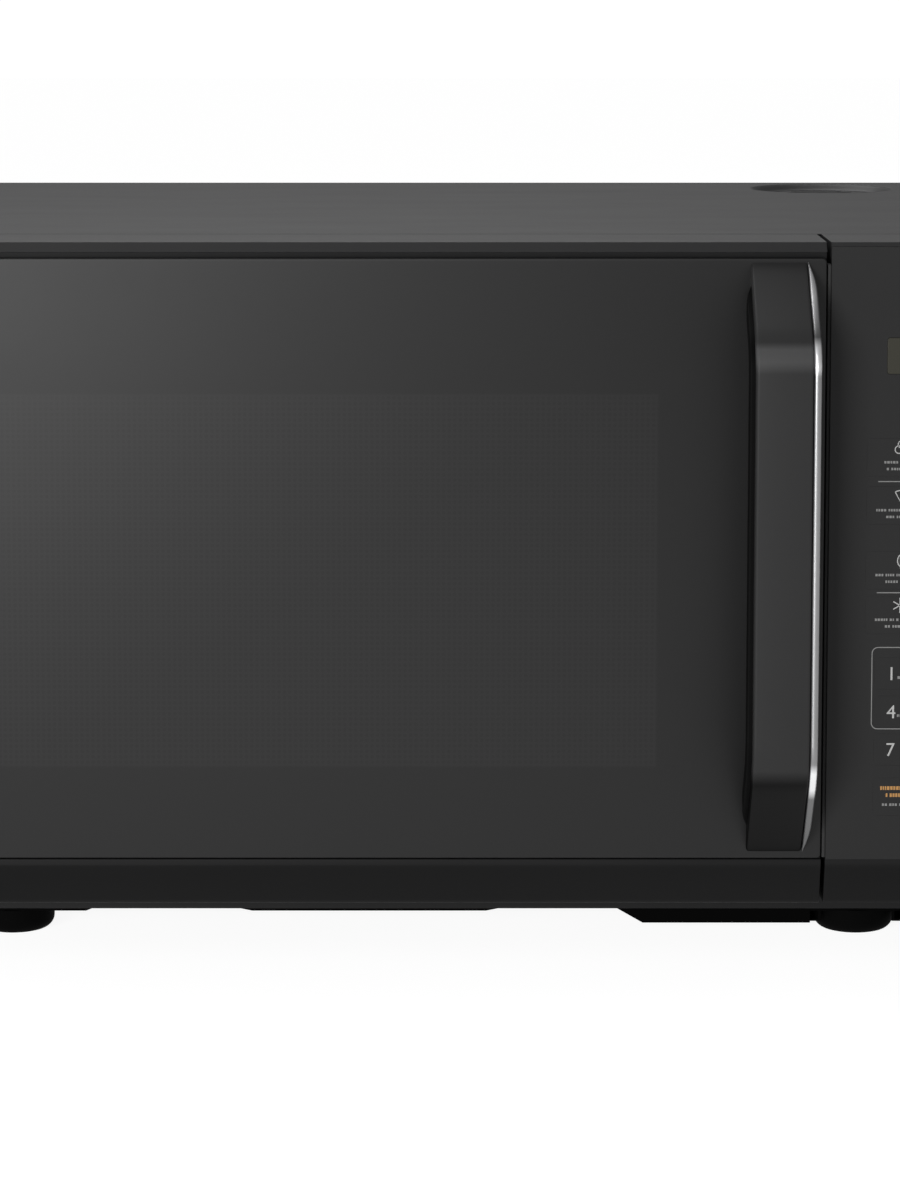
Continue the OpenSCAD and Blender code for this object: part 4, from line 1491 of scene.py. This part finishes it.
@dataclass
class Stroke:
    """Flat printed lines, gathered on one upright plane facing the user."""

    y: float
    patch: Patch = field(default_factory=Patch)

    def line(self, points: np.ndarray, width: float, closed: bool = False) -> None:
        """Adds a ribbon along X-Z points.

        Its two edges are the line moved by half the width along its normal.

        Args:
            points: Rows of X and Z.
            width: The ribbon's width.
            closed: Whether it joins its own start.
        """
        ahead = np.roll(points, -1, 0) - np.roll(points, 1, 0)
        if not closed:
            ahead[0], ahead[-1] = points[1] - points[0], points[-1] - points[-2]
        ahead /= np.linalg.norm(ahead, axis=1)[:, None]
        normal = np.stack([-ahead[:, 1], ahead[:, 0]], 1)
        sides = np.stack([points + normal * width / 2, points - normal * width / 2], 1)
        net = np.stack([sides[..., 0], np.full(sides.shape[:2], self.y), sides[..., 1]], -1)
        self.patch.grid(net, round_u=closed)

    def segment(self, a: Sequence[float], b: Sequence[float], width: float) -> None:
        """Adds one straight ribbon."""
        self.line(np.array([a, b], float), width)

    def words(self, x: float, z: float, wide: float, tall: float, seed: int) -> None:
        """Adds a row of short bars, grouped as words are, that stands for a small caption.

        Args:
            x: Middle of the caption.
            z: Its height.
            wide: Its length.
            tall: Height of the bars.
            seed: Which rhythm of bars it has.
        """
        draw = np.random.default_rng(seed)
        number = max(3, int(wide / (1.15 * MM)))
        lengths = draw.uniform(0.5, 1.0, number)
        gaps = np.where(draw.random(number) < 0.2, 0.9, 0.3)
        gaps[-1] = 0.0
        unit = wide / (lengths.sum() + gaps.sum())
        at = x - wide / 2
        for length, gap in zip(lengths * unit, gaps * unit):
            self.segment((at, z), (at + length, z), tall)
            at += length + gap

    def icon(self, kind: Icon, x: float, z: float, size: float) -> None:
        """Adds one small picture made of lines and arcs.

        Args:
            kind: Which picture.
            x: Its middle.
            z: Its middle height.
            size: Its width.
        """
        w = 0.42 * MM
        r = size / 2
        if kind is Icon.FLAKE:
            for a in range(0, 180, 60):
                d = np.array([math.cos(math.radians(a + 30)), math.sin(math.radians(a + 30))]) * r
                self.segment((x - d[0], z - d[1]), (x + d[0], z + d[1]), w)
        elif kind is Icon.KERNEL:
            for a in range(90, 450, 120):
                c = (x + 0.45 * r * math.cos(math.radians(a)), z + 0.45 * r * math.sin(math.radians(a)))
                self.line(arc(c, r * 0.5, 0, 345, 16), w, True)
        elif kind is Icon.CUP:
            cup = np.array([
                [x - r * 0.7, z + r * 0.5], [x - r * 0.55, z - r * 0.7],
                [x + r * 0.35, z - r * 0.7], [x + r * 0.5, z + r * 0.5],
            ])
            self.line(cup, w, True)
            self.line(arc((x + r * 0.5, z), r * 0.35, -70, 80, 8), w)
        elif kind is Icon.WEDGE:
            self.line(np.array([[x - r * 0.8, z + r * 0.5], [x, z - r], [x + r * 0.8, z + r * 0.5]]), w)
            self.line(arc((x, z - r), r * 1.7, 62, 118, 10), w)
        elif kind is Icon.LEAF:
            self.line(arc((x - r * 0.6, z), r, -55, 55, 10), w)
            self.line(arc((x + r * 0.6, z), r, 125, 235, 10), w)
            self.segment((x, z - r), (x, z + r * 0.4), w)
        elif kind is Icon.CLOCK:
            self.line(arc((x, z), r * 0.85, 0, 345, 24), w, True)
            self.line(np.array([[x, z + r * 0.55], [x, z], [x + r * 0.4, z - r * 0.15]]), w)
        elif kind is Icon.STEAM:
            rise = np.linspace(-1, 1, 12)
            for offset in (-0.5, 0.0, 0.5):
                wavy = np.stack([x + r * (offset + 0.16 * np.sin(rise * 4)), z + r * 0.9 * rise], 1)
                self.line(wavy, w)
        else:
            self.line(arc((x, z + r * 0.3), r * 0.9, 180, 360, 14), w)
            self.segment((x - r, z + r * 0.3), (x + r, z + r * 0.3), w)

    def build(self, name: str) -> bpy.types.Object:
        """Makes the print, with its faces towards the user.

        Args:
            name: The piece's name.

        Returns:
            The object.
        """
        points = np.vstack(self.patch.points)
        faces = []
        for f in self.patch.faces:
            a, b, c = points[f[0]], points[f[1]], points[f[2]]
            faces.append(f if np.cross(b - a, c - b)[1] < 0 else f[::-1])
        return make_object(name, points, faces)


def numeral(text: str, x: float, z: float, y: float, height: float, name: str) -> bpy.types.Object:
    """A printed number, as a flat mesh that faces the user.

    Args:
        text: The number.
        x: Its middle.
        z: Its middle height.
        y: The plane it lies on.
        height: Height of its figures.
        name: The piece's name.

    Returns:
        The object.
    """
    curve = bpy.data.curves.new(name, "FONT")
    curve.body = text
    curve.size = height / 0.7
    curve.align_x = "CENTER"
    curve.resolution_u = 4
    holder = bpy.data.objects.new(name + "_text", curve)
    bpy.context.scene.collection.objects.link(holder)
    bpy.context.view_layer.update()
    mesh = bpy.data.meshes.new_from_object(holder.evaluated_get(bpy.context.evaluated_depsgraph_get()))
    bpy.data.objects.remove(holder)
    flat = np.zeros(len(mesh.vertices) * 3)
    mesh.vertices.foreach_get("co", flat)
    flat = flat.reshape(-1, 3)
    middle = (flat.max(0) + flat.min(0)) / 2
    placed = np.stack([x + flat[:, 0] - middle[0], np.full(len(flat), y), z + flat[:, 1] - middle[1]], 1)
    mesh.vertices.foreach_set("co", placed.ravel())
    mesh.update()
    piece = bpy.data.objects.new(name, mesh)
    bpy.context.scene.collection.objects.link(piece)
    return piece


@dataclass
class ControlPanel:
    """The panel's frame, face, display, keys and print."""

    print_lift: float = 0.04 * MM
    line_w: float = 0.38 * MM
    icons: tuple[Icon, ...] = (
        Icon.KERNEL, Icon.CUP, Icon.WEDGE, Icon.BOWL, Icon.LEAF, Icon.STEAM, Icon.FLAKE, Icon.CLOCK
    )

    def build(self) -> None:
        """Makes the panel's pieces."""
        ease("control_panel_frame", TRIM_PLASTIC_WITH_PAINTED_LIGHT, 0.45 * MM, 3)
        self._seal()
        keep("keypad_overlay", PANEL_FACE)
        ease("display_window", DISPLAY_LENS, 0.15 * MM)
        keep("control_board", BOARD)
        self._presets()
        self._numbers()
        self._ends()
        self._panel_lines()
        self._display()

    def _plane(self, node: str) -> tuple[float, float, float]:
        """Middle X, middle Z and the print's Y on a key."""
        low, high = corners(node)
        return (low[0] + high[0]) / 2, (low[2] + high[2]) / 2, low[1] - self.print_lift

    @staticmethod
    def _seal() -> None:
        """Lays a soft strip down the panel's side, filling most of the gap beside the door."""
        _, door_high = corners("door_frame")
        low, high = corners("control_panel_frame")
        face, _ = corners("keypad_overlay")
        patch = Patch()
        rise = np.linspace(face[2] + 0.6 * MM, high[2] - 9 * MM, 40)
        across = rounded_rectangle(
            door_high[0] + 0.3 * MM, low[0] + 0.1 * MM, face[1] + 1.2 * MM, face[1] + 9 * MM, 0.4 * MM, 4
        )
        net = np.stack(np.broadcast_arrays(across[None, :, 0], across[None, :, 1], rise[:, None]), -1)
        patch.grid(net, round_v=True, cap_first=True, cap_last=True)
        settle(patch.build("panel_seal"), "case", SEAL)

    def _pad(self, node: str) -> None:
        """Makes a key's pad, grown to a hair's breadth of the face round it.

        Args:
            node: The key's node in the frame.
        """
        low, high = corners(node)
        grow = 0.18 * MM
        outline = rounded_rectangle(low[0] - grow, high[0] + grow, low[2] - grow, high[2] + grow, 1.5 * MM)
        patch = Patch()
        plate(patch, outline, low[1], high[1], 0.03 * MM, 2)
        settle(patch.build(node + "_pad"), body_of(node), PANEL_FACE, [node])

    def _presets(self) -> None:
        """Prints a picture and two caption lines on each preset key."""
        columns = [(corners("key_%d" % n)[0][0] + corners("key_%d" % n)[1][0]) / 2 for n in (1, 3)]
        for number, icon in enumerate(self.icons, 1):
            node = "key_preset_%d" % number
            self._pad(node)
            _, z, y = self._plane(node)
            x = columns[(number + 1) % 2]
            marks = Stroke(y)
            marks.icon(icon, x, z + 3.9 * MM, 6.2 * MM)
            settle(marks.build("print_preset_%d" % number), "pad_preset_%d" % number, PALE_PRINT)
            small = Stroke(y)
            small.words(x, z - 1.9 * MM, (20 if number > 2 else 14) * MM, 1.0 * MM, number)
            small.words(x, z - 4.6 * MM, 12 * MM, 1.0 * MM, number + 20)
            settle(small.build("print_caption_%d" % number), "pad_preset_%d" % number, DIM_PRINT)

    def _numbers(self) -> None:
        """Prints the figure on each number key, with a short caption on the first six."""
        for number in range(10):
            node = "key_%d" % number
            self._pad(node)
            x, z, y = self._plane(node)
            offset = 3.05 * MM if number else 0.0
            figure = numeral(str(number), x - offset, z, y, 5.4 * MM, "print_key_%d" % number)
            settle(figure, "pad_%d" % number, PALE_PRINT)
            if 1 <= number <= 6:
                marks = Stroke(y)
                marks.words(x + 2.6 * MM, z - 1.6 * MM, 6.5 * MM, 1.1 * MM, 40 + number)
                settle(marks.build("print_minutes_%d" % number), "pad_%d" % number, DIM_PRINT)

    def _ends(self) -> None:
        """Prints the stop key in amber and the start key in white."""
        for node, finish, seed in (("key_stop", AMBER_PRINT, 60), ("key_start", PALE_PRINT, 70)):
            self._pad(node)
            x, z, y = self._plane(node)
            marks = Stroke(y)
            marks.words(x, z + 3.6 * MM, 14 * MM, 1.5 * MM, seed)
            marks.words(x, z + 0.7 * MM, 9.5 * MM, 1.5 * MM, seed + 1)
            settle(marks.build("print_" + node[4:]), "pad_" + node[4:], finish)
            under = Stroke(y)
            under.words(x, z - 3.2 * MM, 12.5 * MM, 1.0 * MM, seed + 2)
            settle(under.build("print_%s_note" % node[4:]), "pad_" + node[4:], DIM_PRINT)

    def _panel_lines(self) -> None:
        """Prints the two rules between preset rows and the box round six number keys."""
        low, high = corners("keypad_overlay")
        left, _ = corners("key_1")
        _, right = corners("key_3")
        y = low[1] - self.print_lift
        lines = Stroke(y)
        for upper, lower in ((1, 3), (5, 7)):
            z = (corners("key_preset_%d" % upper)[0][2] + corners("key_preset_%d" % lower)[1][2]) / 2
            lines.segment((left[0] + 0.4 * MM, z), (right[0] - 0.4 * MM, z), 0.4 * MM)
        top = corners("key_1")[1][2] + 4.4 * MM
        bottom = (corners("key_4")[0][2] + corners("key_7")[1][2]) / 2
        bottom = max(bottom, corners("key_4")[0][2] - 0.75 * MM)
        box = rounded_rectangle(left[0] - 1.2 * MM, right[0] + 1.2 * MM, bottom, top, 2.4 * MM)
        lines.line(box, self.line_w, True)
        settle(lines.build("print_panel_lines"), "case", DIM_PRINT)

    def _display(self) -> None:
        """Puts four unlit seven-part figures and a colon behind the display's lens."""
        low, high = corners("display_window")
        y = low[1] - self.print_lift
        segments = Stroke(y)
        tall, wide, bar = 8.6 * MM, 4.6 * MM, 0.9 * MM
        middle_z = (low[2] + high[2]) / 2
        for k, shift in enumerate((-17.5, -8.5, 8.5, 17.5)):
            x = (low[0] + high[0]) / 2 + shift * MM
            for z in (-tall / 2, 0.0, tall / 2):
                segments.segment(
                    (x - wide / 2 + bar * 0.6, middle_z + z), (x + wide / 2 - bar * 0.6, middle_z + z), bar
                )
            for side in (-1, 1):
                for z in (-tall / 4, tall / 4):
                    segments.segment(
                        (x + side * wide / 2, middle_z + z - tall / 4 + bar * 0.7),
                        (x + side * wide / 2, middle_z + z + tall / 4 - bar * 0.7), bar,
                    )
        for z in (-1.6 * MM, 1.6 * MM):
            x = (low[0] + high[0]) / 2
            segments.segment((x, middle_z + z - bar / 2), (x, middle_z + z + bar / 2), bar)
        settle(segments.build("print_display"), "case", GHOST_PRINT)


# --------------------------------------------------------------------- ending


def main() -> None:
    """Builds the studio and each sub-assembly in order."""
    logging.basicConfig(level=logging.INFO, format="%(message)s")
    for part in (Studio(), Case(), Oven(), Door(), ControlPanel()):
        LOG.info("building %s", type(part).__name__)
        part.build()


if __name__ == "__main__":
    main()
